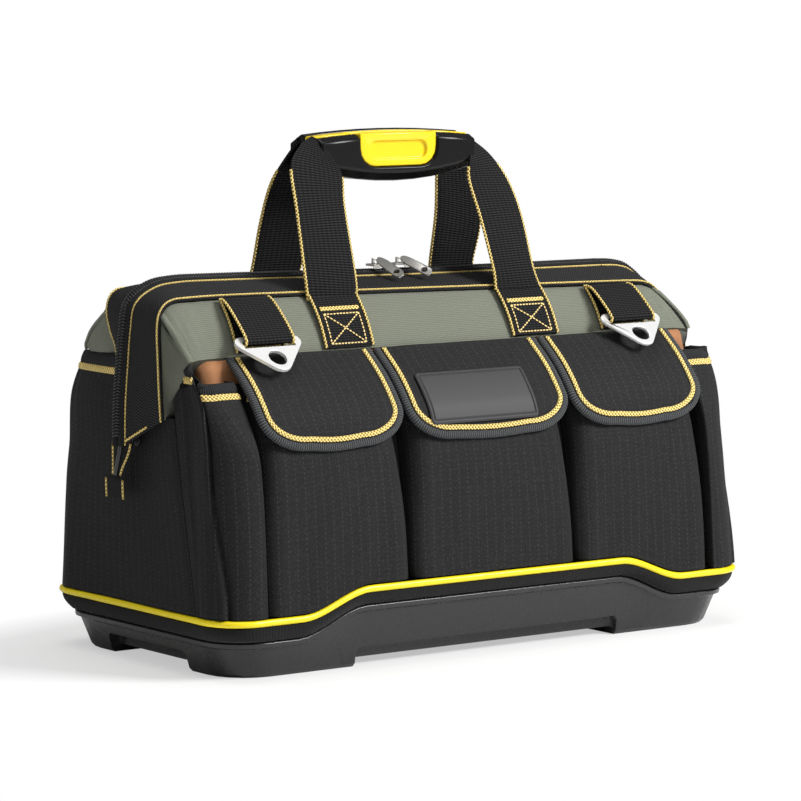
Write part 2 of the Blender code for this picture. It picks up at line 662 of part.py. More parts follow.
def build_flaps(paint):
    """Each flap has a head sewn along the top seam and a lower part that lifts about a fold."""
    splits = (-POCKET_EDGE, -POCKET_SPLIT, POCKET_SPLIT, POCKET_EDGE)
    folds = (OUTER_FOLD_SHARE, CENTRE_FOLD_SHARE, OUTER_FOLD_SHARE)
    for side, left, right, fold in zip(("left", "centre", "right"), splits, splits[1:], folds):
        left, right = left + FLAP_INSET, right - FLAP_INSET
        pivot = flap_fold(fold)
        gap_share = FOLD_GAP / (FLAP_DROP + FLAP_REACH)
        head_rows = []
        for i in range(4):
            y, z = flap_point((fold - gap_share) * i / 3)
            head_rows.append([(x, y, z) for x in (left, (left + right) / 2, right)])
        add_sheet(f"flap_head_{side}", head_rows, FLAP_THICKNESS, paint["black_fabric"])

        rows = []
        steps = 8
        for i in range(steps + 1):
            share = fold + gap_share + (1 - fold - gap_share) * i / steps
            y, z = flap_point(share)
            rest = (1 - share) * (FLAP_DROP + FLAP_REACH) * FLAP_LENGTH_SHARE
            depth = max(FLAP_ROUND - rest, 0.0)
            pull_in = FLAP_ROUND - math.sqrt(max(FLAP_ROUND ** 2 - depth ** 2, 0.0))
            low, high = left + pull_in, right - pull_in
            rows.append([(low + (high - low) * j / 4, y, z) for j in range(5)])
        add_sheet(f"flap_{side}", rows, FLAP_THICKNESS, paint["black_fabric"], origin=pivot)

    # The blank plate on the middle flap
    rows = []
    plate_share = PLATE_HEIGHT / math.hypot(FLAP_DROP, FLAP_REACH)
    for i in range(5):
        share = PLATE_TOP_SHARE + plate_share * i / 4
        y, z = flap_point(share)
        y_next, z_next = flap_point(share + PLATE_SLOPE_SHARE)
        out = Vector((0, z_next - z, y - y_next)).normalized() * (PLATE_THICKNESS + PLATE_STAND_OFF)
        rows.append([(x, y + out.y, z + out.z) for x in (-PLATE_WIDTH / 2, 0.0, PLATE_WIDTH / 2)])
    add_sheet("name_plate", rows, PLATE_THICKNESS, paint["black_rubber"], origin=flap_fold(CENTRE_FOLD_SHARE))


def leg_x(height):
    """Half the arch's span at a height of its legs, which lean in above their upright feet."""
    share = (height - LEG_UPRIGHT) / (SWAY_FOOT - LEG_UPRIGHT)
    return ARCH_HALF_SPAN - ARCH_TAPER * min(max(share, 0.0), 1.0)


def arch_path(foot=ARCH_FOOT):
    """The mouth's arch, from the left foot over the top to the right foot, with its outward directions."""
    places = [(-leg_x(foot), foot, -1.0, 0.0)]
    if foot < LEG_UPRIGHT:
        places.append((-ARCH_HALF_SPAN, LEG_UPRIGHT, -1.0, 0.0))
    shoulder = leg_x(ARCH_TOP) - ARCH_ROUND
    for i in range(ARCH_STEPS + 1):
        turn = math.pi / 2 * i / ARCH_STEPS
        out_x, out_z = -math.cos(turn), math.sin(turn)
        x, z = -shoulder + ARCH_ROUND * out_x, ARCH_TOP - ARCH_ROUND + ARCH_ROUND * out_z
        places.append((x, z, out_x, out_z))
    return places + [(-x, z, -out_x, out_z) for x, z, out_x, out_z in places[::-1]]


def sway(height):
    """How far the soft top leans along X at a height."""
    return -TOP_SWAY * smooth_step((height - SWAY_FOOT) / (ARCH_TOP - SWAY_FOOT))


def arch_sweep(section, foot=ARCH_FOOT):
    """Carry a section of (y, outward) points along the arch, whose top leans to one side."""
    rings = []
    for x, z, out_x, out_z in arch_path(foot):
        rings.append([(x + sway(z) + out_x * out, y, z + out_z * out) for y, out in section])
    bm = loft(rings)
    bmesh.ops.recalc_face_normals(bm, faces=bm.faces)
    return bm


def band_out(y):
    """The band's face above the arch, at a distance from the zip."""
    return BAND_CROWN * (BAND_OUTER - abs(y)) / (BAND_OUTER - BAND_INNER)


def build_mouth(paint):
    """The two hinged half frames: spring-steel strips under bands, with half a zip each."""
    pivot = (0, 0, PIVOT_HEIGHT)
    for side, turn in (("front", -1), ("rear", 1)):
        far, near = turn * BAND_OUTER, turn * BAND_INNER
        band = [(far, 0.0), (near, BAND_CROWN), (near, BAND_CROWN - BAND_THICKNESS), (far, -BAND_THICKNESS)]
        add_object(f"mouth_band_{side}", arch_sweep(band), paint["black_webbing"], pivot)

        under = BAND_THICKNESS + GAP
        outer, inner = turn * STRIP_OUTER, turn * STRIP_INNER
        strip = [
            (outer, band_out(outer) - under),
            (inner, band_out(inner) - under),
            (inner, band_out(inner) - under - STRIP_THICKNESS),
            (outer, band_out(outer) - under - STRIP_THICKNESS),
        ]
        frame = add_object(f"mouth_frame_{side}", arch_sweep(strip), paint["spring_steel"], pivot)
        eye_out = strip[3][1] if turn < 0 else strip[2][1] - GAP
        eye_edge = outer if turn < 0 else inner
        for end in (-1, 1):
            x_near = end * (ARCH_HALF_SPAN + eye_out)
            outline = eye_outline(eye_edge)
            eye = add_object(
                f"eye_{side}_{end}",
                prism(outline, (x_near, 0, 0), (end * STRIP_THICKNESS, 0, 0)),
                None,
            )
            boolean(frame, eye, "UNION")
            reach = end * OVERRUN / 2
            hole = cylinder_x(x_near - reach, x_near + reach, PIN_RADIUS + PIN_PLAY, pivot)
            cut(frame, f"eye_hole_{side}_{end}", hole)

        tape_near = turn * GAP
        tape_far = near - turn * GAP
        tape_top = BAND_CROWN - GAP
        tape = [
            (tape_far, tape_top), (tape_near, tape_top),
            (tape_near, tape_top - ZIP_TAPE_THICKNESS), (tape_far, tape_top - ZIP_TAPE_THICKNESS),
        ]
        add_object(f"zip_tape_{side}", arch_sweep(tape), paint["black_fabric"], pivot)
        centre = turn * (GAP + COIL_RADIUS)
        coil = []
        for i in range(8):
            angle = 2 * math.pi * (i + 0.5) / 8
            across, up = COIL_RADIUS * math.cos(angle), COIL_RADIUS * math.sin(angle)
            coil.append((centre + across, coil_centre() + up))
        add_object(f"zip_coil_{side}", arch_sweep(coil), paint["black_plastic"], pivot)

    for side, end in (("left", -1), ("right", 1)):
        start = face_x(PIVOT_HEIGHT) + GAP
        stop = ARCH_HALF_SPAN + pin_reach()
        neck, cap = start + PIN_HEAD_THICKNESS, stop - PIN_HEAD_THICKNESS
        profile = [
            (start, PIN_HEAD), (neck, PIN_HEAD), (neck, PIN_RADIUS),
            (cap, PIN_RADIUS), (cap, PIN_HEAD), (stop, PIN_HEAD),
        ]
        pin = turned_x([(end * x, r) for x, r in profile], pivot)
        add_object(f"pivot_pin_{side}", pin, paint["nickel"], pivot)


def coil_centre():
    return BAND_CROWN + COIL_RADIUS


def pin_reach():
    """How far the pin stands out past the arch, over both eyes."""
    rear_eye = band_out(STRIP_INNER) - BAND_THICKNESS - 2 * GAP - STRIP_THICKNESS
    return rear_eye + STRIP_THICKNESS + GAP + PIN_HEAD_THICKNESS


def eye_outline(edge):
    """A plate from the strip to a round end about the pivot, in the end plane."""
    side = 1 if edge > 0 else -1
    points = [(0, edge, ARCH_FOOT + 2 * EYE_RADIUS), (0, edge, ARCH_FOOT - EYE_RADIUS / 2)]
    for i in range(9):
        angle = math.pi * (i / 8 - 0.5)
        points.append((0, -side * EYE_RADIUS * math.cos(angle), PIVOT_HEIGHT + EYE_RADIUS * math.sin(angle)))
    return points


def cylinder_x(start, stop, radius, centre, steps=12):
    """A round bar along X between two places."""
    outline = []
    for i in range(steps):
        angle = 2 * math.pi * i / steps
        outline.append((0, centre[1] + radius * math.cos(angle), centre[2] + radius * math.sin(angle)))
    return prism(outline, (start, 0, 0), (stop - start, 0, 0))


def turned_x(profile, centre, steps=12):
    """A turned piece along X from its (x, radius) profile."""
    rings = []
    for x, radius in profile:
        ring = []
        for i in range(steps):
            angle = 2 * math.pi * i / steps
            ring.append((x, centre[1] + radius * math.cos(angle), centre[2] + radius * math.sin(angle)))
        rings.append(ring)
    bm = loft(rings)
    bmesh.ops.recalc_face_normals(bm, faces=bm.faces)
    return bm


def build_panels(paint):
    """The grey-green upper panels, from the body's top seam up to each band."""
    for side, turn in (("front", -1), ("rear", 1)):
        height = BODY_HEIGHT + PANEL_SEAT
        half_length, half_width = wall_x(BODY_HEIGHT) - GAP, -wall_y(BODY_HEIGHT) - GAP
        corner_x, corner_y = half_length - WALL_CORNER, half_width - WALL_CORNER
        quarter = [math.pi / 2 * i / CORNER_STEPS for i in range(CORNER_STEPS + 1)]
        lower = [(-half_length, BAND_OUTER)]
        for a in quarter:
            lower.append((-corner_x - WALL_CORNER * math.cos(a), corner_y + WALL_CORNER * math.sin(a)))
        edge = BAND_OUTER + 2 * GAP
        arch = arch_path(BODY_HEIGHT + 2 * GAP)[1:ARCH_STEPS + 2]
        picks = np.linspace(0, ARCH_STEPS, len(lower) - 1).round().astype(int)
        first = arch_path(BODY_HEIGHT + 2 * GAP)[0]
        under = BAND_THICKNESS + 2 * GAP
        upper = [(first[0] - first[2] * under, first[1] + under)]
        upper += [(arch[i][0] - arch[i][2] * under, arch[i][1] - arch[i][3] * under) for i in picks]
        middle = [(0.0, half_width)]
        upper_middle = [(0.0, ARCH_TOP - under)]
        lower = lower + middle + [(-x, y) for x, y in lower[::-1]]
        upper = upper + upper_middle + [(-x, z) for x, z in upper[::-1]]
        rows = []
        steps = 4
        for i in range(steps + 1):
            t = i / steps
            swell = PANEL_BULGE * math.sin(math.pi * t)
            row = []
            for (x_low, y_low), (x_top, z_top) in zip(lower, upper):
                x_top += sway(z_top)
                x = x_top + (x_low - x_top) * t
                y = edge + (y_low - edge) * t + swell * (1 if y_low > half_width - WALL_CORNER / 2 else 0)
                row.append((x, turn * y, z_top + (height - z_top) * t))
            rows.append(row if turn < 0 else row[::-1])
        add_sheet(f"upper_panel_{side}", rows, PANEL_THICKNESS, paint["grey_green_fabric"],
                  origin=(0, 0, PIVOT_HEIGHT))


def panel_point(share, stand_off):
    """A place up the panel's face in the middle, as (distance from the zip, z), standing off it."""
    low = Vector((-wall_y(BODY_HEIGHT) - GAP, BODY_HEIGHT + PANEL_SEAT))
    top = Vector((BAND_OUTER + 2 * GAP, ARCH_TOP - BAND_THICKNESS - 2 * GAP))
    along = top - low
    out = Vector((along.y, -along.x)).normalized()
    point = low + along * share + out * (PANEL_BULGE * math.sin(math.pi * share) + stand_off)
    return point.x, point.y


def build_patches(paint):
    """The sewn feet of the handle straps, and the flat strips under the ring loops."""
    for side, turn in (("front", -1), ("rear", 1)):
        places = [
            ("handle_patch_left", PATCH_MIDDLE - PATCH_PLACE),
            ("handle_patch_right", PATCH_MIDDLE + PATCH_PLACE),
        ]
        if turn < 0:
            places.append(("ring_strip_left", RING_MIDDLE - RING_PLACE))
            places.append(("ring_strip_right", RING_MIDDLE + RING_PLACE))
        for name, place in places:
            rows = []
            steps = 4
            for i in range(steps + 1):
                share = PATCH_HEAD_SHARE + (PATCH_FOOT_SHARE - PATCH_HEAD_SHARE) * i / steps
                y, z = panel_point(share, WEBBING_THICKNESS + GAP)
                xs = (place - WEBBING_WIDTH / 2, place + WEBBING_WIDTH / 2)
                rows.append([(x, turn * y, z) for x in (xs if turn < 0 else xs[::-1])])
            label = name if name.startswith("ring") else f"{name}_{side}"
            add_sheet(label, rows, WEBBING_THICKNESS, paint["black_webbing"], origin=(0, 0, PIVOT_HEIGHT))


def loop_top():
    y, z = panel_point(1.0, LOOP_THICKNESS)
    return Vector((0, -y - LOOP_TOP_OUT, z + LOOP_TOP_LIFT))


def bar_centre():
    lean = Vector((0, -math.sin(LOOP_LEAN), -math.cos(LOOP_LEAN)))
    return loop_top() + lean * LOOP_LENGTH


def build_rings(paint):
    """Webbing loops hinged below the band, each round the bar of a steel ring plate."""
    bar_reach = math.hypot(RING_BAR / 2, RING_THICKNESS / 2) + BAR_PLAY
    wrap = bar_reach + WEBBING_THICKNESS
    down = Vector((0, -math.sin(LOOP_LEAN), -math.cos(LOOP_LEAN)))
    out = Vector((0, -math.cos(LOOP_LEAN), math.sin(LOOP_LEAN)))
    for side, place in (("left", RING_MIDDLE - RING_PLACE), ("right", RING_MIDDLE + RING_PLACE)):
        left = place - WEBBING_WIDTH / 2
        top = loop_top()
        bar = bar_centre()
        outline = [top + out * LOOP_THICKNESS / 2, top - out * LOOP_THICKNESS / 2]
        start = math.asin(LOOP_THICKNESS / 2 / wrap)
        for i in range(17):
            angle = start + (2 * math.pi - 2 * start) * i / 16
            outline.append(bar - down * wrap * math.cos(angle) - out * wrap * math.sin(angle))
        loop = add_object(
            f"ring_loop_{side}",
            prism([(0, p.y, p.z) for p in outline], (left, 0, 0), (WEBBING_WIDTH, 0, 0)),
            paint["black_webbing"],
            top,
        )
        bore = cylinder_x(left - OVERRUN, left + WEBBING_WIDTH + OVERRUN, bar_reach, bar, 16)
        cut(loop, f"loop_bore_{side}", bore)
        build_ring(f"ring_{side}", place, bar, paint["polished_steel"])


def build_ring(name, place, bar, material):
    """A triangular plate with a slot for the webbing and a round hole below it."""
    down = Vector((0, -math.sin(RING_LEAN), -math.cos(RING_LEAN)))
    out = Vector((0, -math.cos(RING_LEAN), math.sin(RING_LEAN)))
    back = bar + Vector((place, 0, 0)) - out * RING_THICKNESS / 2

    def at(u, v):
        return back + Vector((u, 0, 0)) + down * v

    half = RING_WIDTH / 2
    top = -RING_BAR / 2
    tip = RING_HEIGHT - RING_BAR / 2
    shoulder = (half - RING_CORNER, top + RING_CORNER)
    slope = math.atan2(tip - RING_TIP - shoulder[1], shoulder[0])
    outline = []
    for i in range(6):
        angle = -math.pi / 2 + (math.pi / 2 + math.pi / 2 - slope) * i / 5
        across, up = RING_CORNER * math.cos(angle), RING_CORNER * math.sin(angle)
        outline.append((shoulder[0] + across, shoulder[1] + up))
    for i in range(7):
        angle = math.pi / 2 - slope + 2 * slope * i / 6
        outline.append((RING_TIP * math.cos(angle), tip - RING_TIP + RING_TIP * math.sin(angle)))
    for u, v in outline[5::-1]:
        outline.append((-u, v))
    ring = add_object(
        name,
        prism([at(u, v) for u, v in outline], (0, 0, 0), out * RING_THICKNESS),
        material,
        bar + Vector((place, 0, 0)),
    )
    slot_low = RING_BAR / 2
    corners = [(-1, 0), (1, 0), (1, 1), (-1, 1)]
    slot = [(a * RING_SLOT_WIDTH / 2, slot_low + b * RING_SLOT_HEIGHT) for a, b in corners]
    through = out * OVERRUN
    cut(ring, f"{name}_slot", prism([at(u, v) - through for u, v in slot], (0, 0, 0), through * 2))
    hole = []
    for i in range(20):
        angle = 2 * math.pi * i / 20
        centre = RING_HEIGHT * RING_HOLE_SHARE
        hole.append((RING_HOLE_RADIUS * math.cos(angle), centre + RING_HOLE_RADIUS * math.sin(angle)))
    cut(ring, f"{name}_hole", prism([at(u, v) - through for u, v in hole], (0, 0, 0), through * 2))


def coil_top():
    return ARCH_TOP + coil_centre() + COIL_RADIUS


def build_sliders(paint):
    """Two zip sliders nose to nose on the coil, each with a bridge for its pull."""
    base = coil_top() + GAP
    axis_height = base + SLIDER_PLATE + BRIDGE_HEIGHT / 2
    for side, turn in (("left", -1), ("right", 1)):
        middle = SLIDER_PAIR_OFFSET + turn * SLIDER_GAP_FROM_CENTRE
        nose, tail = middle - turn * SLIDER_LENGTH / 2, middle + turn * SLIDER_LENGTH / 2
        narrow = SLIDER_HALF_WIDTH * SLIDER_NOSE_SHARE
        plate = [
            (nose, -narrow, base), (nose, narrow, base),
            (middle, SLIDER_HALF_WIDTH, base), (tail, SLIDER_HALF_WIDTH, base),
            (tail, -SLIDER_HALF_WIDTH, base), (middle, -SLIDER_HALF_WIDTH, base),
        ]
        origin = (middle, 0, base)
        solid = prism(plate, (0, 0, 0), (0, 0, SLIDER_PLATE))
        slider = add_object(f"slider_{side}", solid, paint["nickel"], origin)
        low = base - COIL_RADIUS
        flange_back = -SLIDER_HALF_WIDTH + SLIDER_PLATE / 3
        flange = [
            (middle, -SLIDER_HALF_WIDTH, low), (tail, -SLIDER_HALF_WIDTH, low),
            (tail, flange_back, low), (middle, flange_back, low),
        ]
        flange_tool = prism(flange, (0, 0, 0), (0, 0, COIL_RADIUS + SLIDER_PLATE / 2))
        boolean(slider, add_object(f"slider_flange_{side}", flange_tool, None), "UNION")
        bridge = bridge_outline(middle, base + SLIDER_PLATE / 2, axis_height)
        bridge_tool = prism(bridge, (0, -BRIDGE_RADIUS, 0), (0, 2 * BRIDGE_RADIUS, 0))
        boolean(slider, add_object(f"slider_bridge_{side}", bridge_tool, None), "UNION")
        build_pull(f"pull_{side}", middle, axis_height, paint["nickel"])


def bridge_outline(middle, foot, height):
    """A staple that stands on the slider, in the plane of the zip, as one outline."""
    out, bar = BRIDGE_HALF_SPAN, BRIDGE_RADIUS
    return [
        (middle - out, 0, foot), (middle - out, 0, height + bar), (middle + out, 0, height + bar),
        (middle + out, 0, foot), (middle + out - 2 * bar, 0, foot), (middle + out - 2 * bar, 0, height - bar),
        (middle - out + 2 * bar, 0, height - bar), (middle - out + 2 * bar, 0, foot),
    ]


def build_pull(name, middle, height, material):
    """A flat pull with an eye round the bridge, a neck and a wider end with a hole."""
    down = Vector((0, -math.sin(PULL_REST), -math.cos(PULL_REST)))
    out = Vector((0, -math.cos(PULL_REST), math.sin(PULL_REST)))
    pivot = Vector((middle, 0, height))

    def at(u, v, w=0.0):
        return pivot + Vector((u, 0, 0)) + down * v + out * w

    neck, half = PULL_NECK / 2, PULL_WIDTH / 2
    start = PULL_EYE * PULL_ROOT_SHARE
    neck_end, shoulder = [PULL_LENGTH * share for share in PULL_NECK_SHARES]
    outline = [(-neck, start), (-neck, neck_end), (-half, shoulder), (-half, PULL_LENGTH - half)]
    for i in range(1, 6):
        angle = math.pi - math.pi * i / 6
        outline.append((half * math.cos(angle), PULL_LENGTH - half + half * math.sin(angle)))
    outline += [(half, PULL_LENGTH - half), (half, shoulder), (neck, neck_end), (neck, start)]
    thick = PULL_THICKNESS
    solid = prism([at(u, v, -thick / 2) for u, v in outline], (0, 0, 0), out * thick)
    pull = add_object(name, solid, material, pivot)
    eye = cylinder_x(middle - neck, middle + neck, PULL_EYE, (middle, 0, height), 14)
    boolean(pull, add_object(f"{name}_eye", eye, None), "UNION")
    bore = cylinder_x(middle - PULL_WIDTH, middle + PULL_WIDTH, PULL_EYE_BORE, (middle, 0, height))
    cut(pull, f"{name}_bore", bore)
    hole_x, hole_y = [half * share for share in PULL_HOLE_SHARES]
    hole = []
    for i in range(12):
        angle = 2 * math.pi * i / 12
        hole.append((hole_x * math.cos(angle), PULL_LENGTH - half + hole_y * math.sin(angle)))
    cut(pull, f"{name}_hole", prism([at(u, v, -thick) for u, v in hole], (0, 0, 0), out * thick * 2))


def build_zip_tails(paint):
    """The free ends of the zip, each below the swing of the coils over a pivot, with a folded webbing tab."""
    for side, end in (("left", -1), ("right", 1)):
        x = end * (ARCH_HALF_SPAN + pin_reach() + GAP)
        top = ARCH_FOOT - ZIP_TAIL_ROOM
        low = top - ZIP_TAIL_LENGTH - ZIP_TAB_HEIGHT
        half = ZIP_TAIL_WIDTH / 2
        narrow, wide = [half * share for share in ZIP_TAIL_SHARES]
        tab_top = low + ZIP_TAB_HEIGHT
        outline = [
            (0, -narrow, top), (0, narrow, top), (0, wide, tab_top), (0, half, tab_top),
            (0, half, low), (0, -half, low), (0, -half, tab_top), (0, -wide, tab_top),
        ]
        add_object(f"zip_tail_{side}", prism(outline, (x, 0, 0), (end * TAPE_THICKNESS, 0, 0)),
                   paint["black_fabric"], (x, 0, top))


def strap_foot(turn):
    """Where a handle strap leaves its patch and hinges."""
    y, z = panel_point(PATCH_HEAD_SHARE, WEBBING_THICKNESS + GAP)
    return Vector((0, turn * y, z + STRAP_FOOT_GAP))


def grip_heights(x):
    """Top and bottom of the grip at a place along it, from its middle."""
    share = (x / GRIP_HALF_LENGTH) ** 2
    return GRIP_TOP - GRIP_TOP_END_DROP * share, GRIP_BOTTOM + GRIP_BOTTOM_END_RISE * share


def grip_loft(section, half_length=GRIP_HALF_LENGTH):
    """Carry a section of (y, z) points, worked out from the grip's top and bottom, along the grip."""
    rings = []
    for i in range(GRIP_STATIONS + 1):
        x = half_length * (2 * i / GRIP_STATIONS - 1)
        rings.append([(GRIP_MIDDLE + x, y, z) for y, z in section(*grip_heights(x))])
    bm = loft(rings)
    bmesh.ops.recalc_face_normals(bm, faces=bm.faces)
    return bm


def build_grip(paint):
    """The grip splits along its length: front shell and button, and rear shell with the yellow core."""
    front_foot, rear_foot = strap_foot(-1), strap_foot(1)
    core_front = -GRIP_SPLIT + GAP
    core_rear = core_front + GRIP_CORE_WIDTH
    depth, slope = GRIP_HALF_DEPTH, GRIP_SLOPE

    def front(top, bottom):
        top = top - GRIP_SHELL_DROP
        return [
            (-GRIP_SPLIT, top), (-depth + slope, top), (-depth, top - GRIP_SHOULDER),
            (-depth, bottom + slope), (-depth + slope, bottom), (-GRIP_SPLIT, bottom),
        ]

    def rear(top, bottom):
        return [
            (core_rear + GAP, top), (core_rear + slope, top), (depth, top - slope), (depth, bottom + slope),
            (depth - slope, bottom), (core_front, bottom), (core_front, bottom + GRIP_FLOOR),
            (core_rear + GAP, bottom + GRIP_FLOOR),
        ]

    def core(top, bottom):
        top = top - GRIP_SHELL_DROP / 2
        low = bottom + GRIP_FLOOR + GAP
        return [(core_front, top), (core_front, low), (core_rear, low), (core_rear, top)]

    shell = add_object("grip_front_shell", grip_loft(front), paint["black_plastic"], front_foot)
    add_object("grip_rear_shell", grip_loft(rear), paint["black_plastic"], rear_foot)
    middle = add_object("grip_core", grip_loft(core), paint["yellow_plastic"], rear_foot)

    above = GRIP_TOP + OVERRUN
    half, low = WINDOW_HALF_WIDTH, WINDOW_BOTTOM
    left, right = GRIP_MIDDLE - half, GRIP_MIDDLE + half
    cut(shell, "window", rounded_box((left, -depth - OVERRUN, low), (right, 0, above), WINDOW_ROUND, 1))

    flange = BUTTON_FLANGE
    room = flange + BUTTON_CLEARANCE
    pocket_depth = BUTTON_FLANGE_THICKNESS + BUTTON_TRAVEL + 3 * GAP
    pocket_low = (left - room, -GRIP_SPLIT - OVERRUN, low - room - BUTTON_LIFT_ROOM)
    pocket_high = (right + room, core_front + pocket_depth, above)
    cut(middle, "button_pocket", rounded_box(pocket_low, pocket_high, WINDOW_ROUND, 1))

    gap = BUTTON_CLEARANCE
    top = GRIP_TOP - GRIP_SHELL_DROP - GAP
    face = (left + gap, -depth + BUTTON_FACE_RECESS, low + gap)
    back = (right - gap, core_front + GAP, above)
    travel_origin = (GRIP_MIDDLE, -GRIP_SPLIT, (WINDOW_BOTTOM + GRIP_TOP) / 2)
    solid = rounded_box(face, back, WINDOW_ROUND - gap, 1)
    button = add_object("grip_button", solid, paint["yellow_plastic"], travel_origin)
    plate = (left - flange, core_front + GAP, low - flange)
    plate_back = (right + flange, core_front + GAP + BUTTON_FLANGE_THICKNESS, above)
    flange_tool = rounded_box(plate, plate_back, WINDOW_ROUND, 1)
    boolean(button, add_object("button_flange", flange_tool, None), "UNION")
    trim_low = (GRIP_MIDDLE - GRIP_HALF_LENGTH, -depth - OVERRUN, top)
    cut(button, "button_top", box(trim_low, (GRIP_MIDDLE + GRIP_HALF_LENGTH, depth, above + OVERRUN)))
    centre = (low + top) / 2
    dish = (GRIP_MIDDLE - FINGER_HALF_WIDTH, face[1] - OVERRUN, centre - FINGER_HALF_HEIGHT)
    dish_end = (GRIP_MIDDLE + FINGER_HALF_WIDTH, face[1] + FINGER_DEPTH, centre + FINGER_HALF_HEIGHT)
    cut(button, "finger_dish", rounded_box(dish, dish_end, FINGER_HALF_HEIGHT * FINGER_ROUND_SHARE, 1))


def build_straps(paint):
    """Handle straps rise from their patches, turn, and wrap the corners of the grip's ends."""
    for side, turn in (("front", -1), ("rear", 1)):
        foot = strap_foot(turn)
        face = GRIP_HALF_DEPTH + STRAP_FRONT_CLEARANCE
        half = WEBBING_WIDTH / 2
        end_x = GRIP_HALF_LENGTH + STRAP_END_CLEARANCE
        for end_name, end in (("left", -1), ("right", 1)):
            low = [(PATCH_PLACE - half, abs(foot.y), foot.z), (PATCH_PLACE, abs(foot.y), foot.z),
                   (PATCH_PLACE + half, abs(foot.y), foot.z)]
            high = [
                (GRIP_HALF_LENGTH - STRAP_INNER_LAP, face, GRIP_BOTTOM + GRIP_FLOOR),
                (end_x + WEBBING_THICKNESS, face, (GRIP_BOTTOM + GRIP_TOP) / 2),
                (end_x + STRAP_OUTER_REACH, STRAP_OUTER_IN, GRIP_TOP - GRIP_TOP_END_DROP),
            ]
            rows = []
            for i in range(STRAP_ROWS + 1):
                t = 1 - i / STRAP_ROWS
                bend = smooth_step(t)
                middle = PATCH_MIDDLE + (GRIP_MIDDLE - PATCH_MIDDLE) * bend
                row = []
                for (x0, y0, z0), (x1, y1, z1) in zip(low, high):
                    x = middle + end * (x0 + (x1 - x0) * bend)
                    row.append((x, turn * (y0 + (y1 - y0) * bend), z0 + (z1 - z0) * t))
                rows.append(row if end * turn < 0 else row[::-1])
            name = f"handle_strap_{end_name}_{side}"
            add_sheet(name, rows, WEBBING_THICKNESS, paint["black_webbing"], foot)


def main():
    clear_scene()
    paint = make_materials()
    build_tray(paint)
    build_floor_and_trim(paint)
    build_body_shell(paint)
    build_pockets(paint)
    build_flaps(paint)
    build_mouth(paint)
    build_panels(paint)
    build_patches(paint)
    build_rings(paint)
    build_sliders(paint)
    build_zip_tails(paint)
    build_grip(paint)
    build_straps(paint)


main()
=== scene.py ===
"""The looks of a wide-mouth tool bag with a moulded base, ripstop pockets, webbing handles and a split grip.

Every length is in metres, in the frame's own axes: +Z up, -Y the front, +X to the right seen from the front.
"""

import math

import bmesh
import bpy
import numpy as np
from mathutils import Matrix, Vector


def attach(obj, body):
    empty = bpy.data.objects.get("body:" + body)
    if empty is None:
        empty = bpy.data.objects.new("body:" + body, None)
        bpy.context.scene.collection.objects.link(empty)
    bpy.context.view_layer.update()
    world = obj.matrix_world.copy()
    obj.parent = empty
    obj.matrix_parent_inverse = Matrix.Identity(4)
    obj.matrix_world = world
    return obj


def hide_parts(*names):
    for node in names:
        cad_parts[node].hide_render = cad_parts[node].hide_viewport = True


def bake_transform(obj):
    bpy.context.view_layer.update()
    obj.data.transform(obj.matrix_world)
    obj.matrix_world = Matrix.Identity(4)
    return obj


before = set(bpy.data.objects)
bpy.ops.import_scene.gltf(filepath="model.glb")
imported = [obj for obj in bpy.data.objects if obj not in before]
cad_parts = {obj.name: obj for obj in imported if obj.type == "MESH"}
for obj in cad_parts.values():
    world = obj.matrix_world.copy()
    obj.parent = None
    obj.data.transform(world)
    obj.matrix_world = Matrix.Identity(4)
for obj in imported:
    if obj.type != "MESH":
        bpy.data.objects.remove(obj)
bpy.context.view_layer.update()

mm = 0.001
turn = 2 * np.pi


# The base is one injection-moulded tray of black polypropylene with a satin, finely grained surface. Its four
# feet and its wavy lip are part of it. The fabric is sewn to the lip.
class Value:
    """A number that varies over a surface. Python's operators on it add the Math nodes that work it out."""

    def __init__(self, tree, socket):
        self.tree = tree
        self.socket = socket

    def math(self, operation, *others):
        node = self.tree.nodes.new("ShaderNodeMath")
        node.operation = operation
        for place, value in zip(node.inputs, (self, *others)):
            join(self.tree, value, place)
        return Value(self.tree, node.outputs[0])

    def __add__(self, other):
        return self.math("ADD", other)

    def __sub__(self, other):
        return self.math("SUBTRACT", other)

    def __mul__(self, other):
        return self.math("MULTIPLY", other)

    def __truediv__(self, other):
        return self.math("DIVIDE", other)

    __radd__ = __add__
    __rmul__ = __mul__

    def sine(self):
        return self.math("SINE")

    def wave(self, length):
        """A sine wave along the surface, from 0 to 1, one period to each length."""
        return (self * (turn / length)).sine() * 0.5 + 0.5

    def above(self, limit, softness):
        """0 below the limit and 1 above it, over a soft step."""
        return ((self - limit) / softness + 0.5).math("MINIMUM", 1.0).math("MAXIMUM", 0.0)

    def greater(self, other):
        return self.math("MAXIMUM", other)


def join(tree, value, socket):
    """Puts a number, a colour, a Value or another node's output on a socket."""
    if isinstance(value, Value):
        tree.links.new(value.socket, socket)
    elif isinstance(value, bpy.types.NodeSocket):
        tree.links.new(value, socket)
    else:
        socket.default_value = value


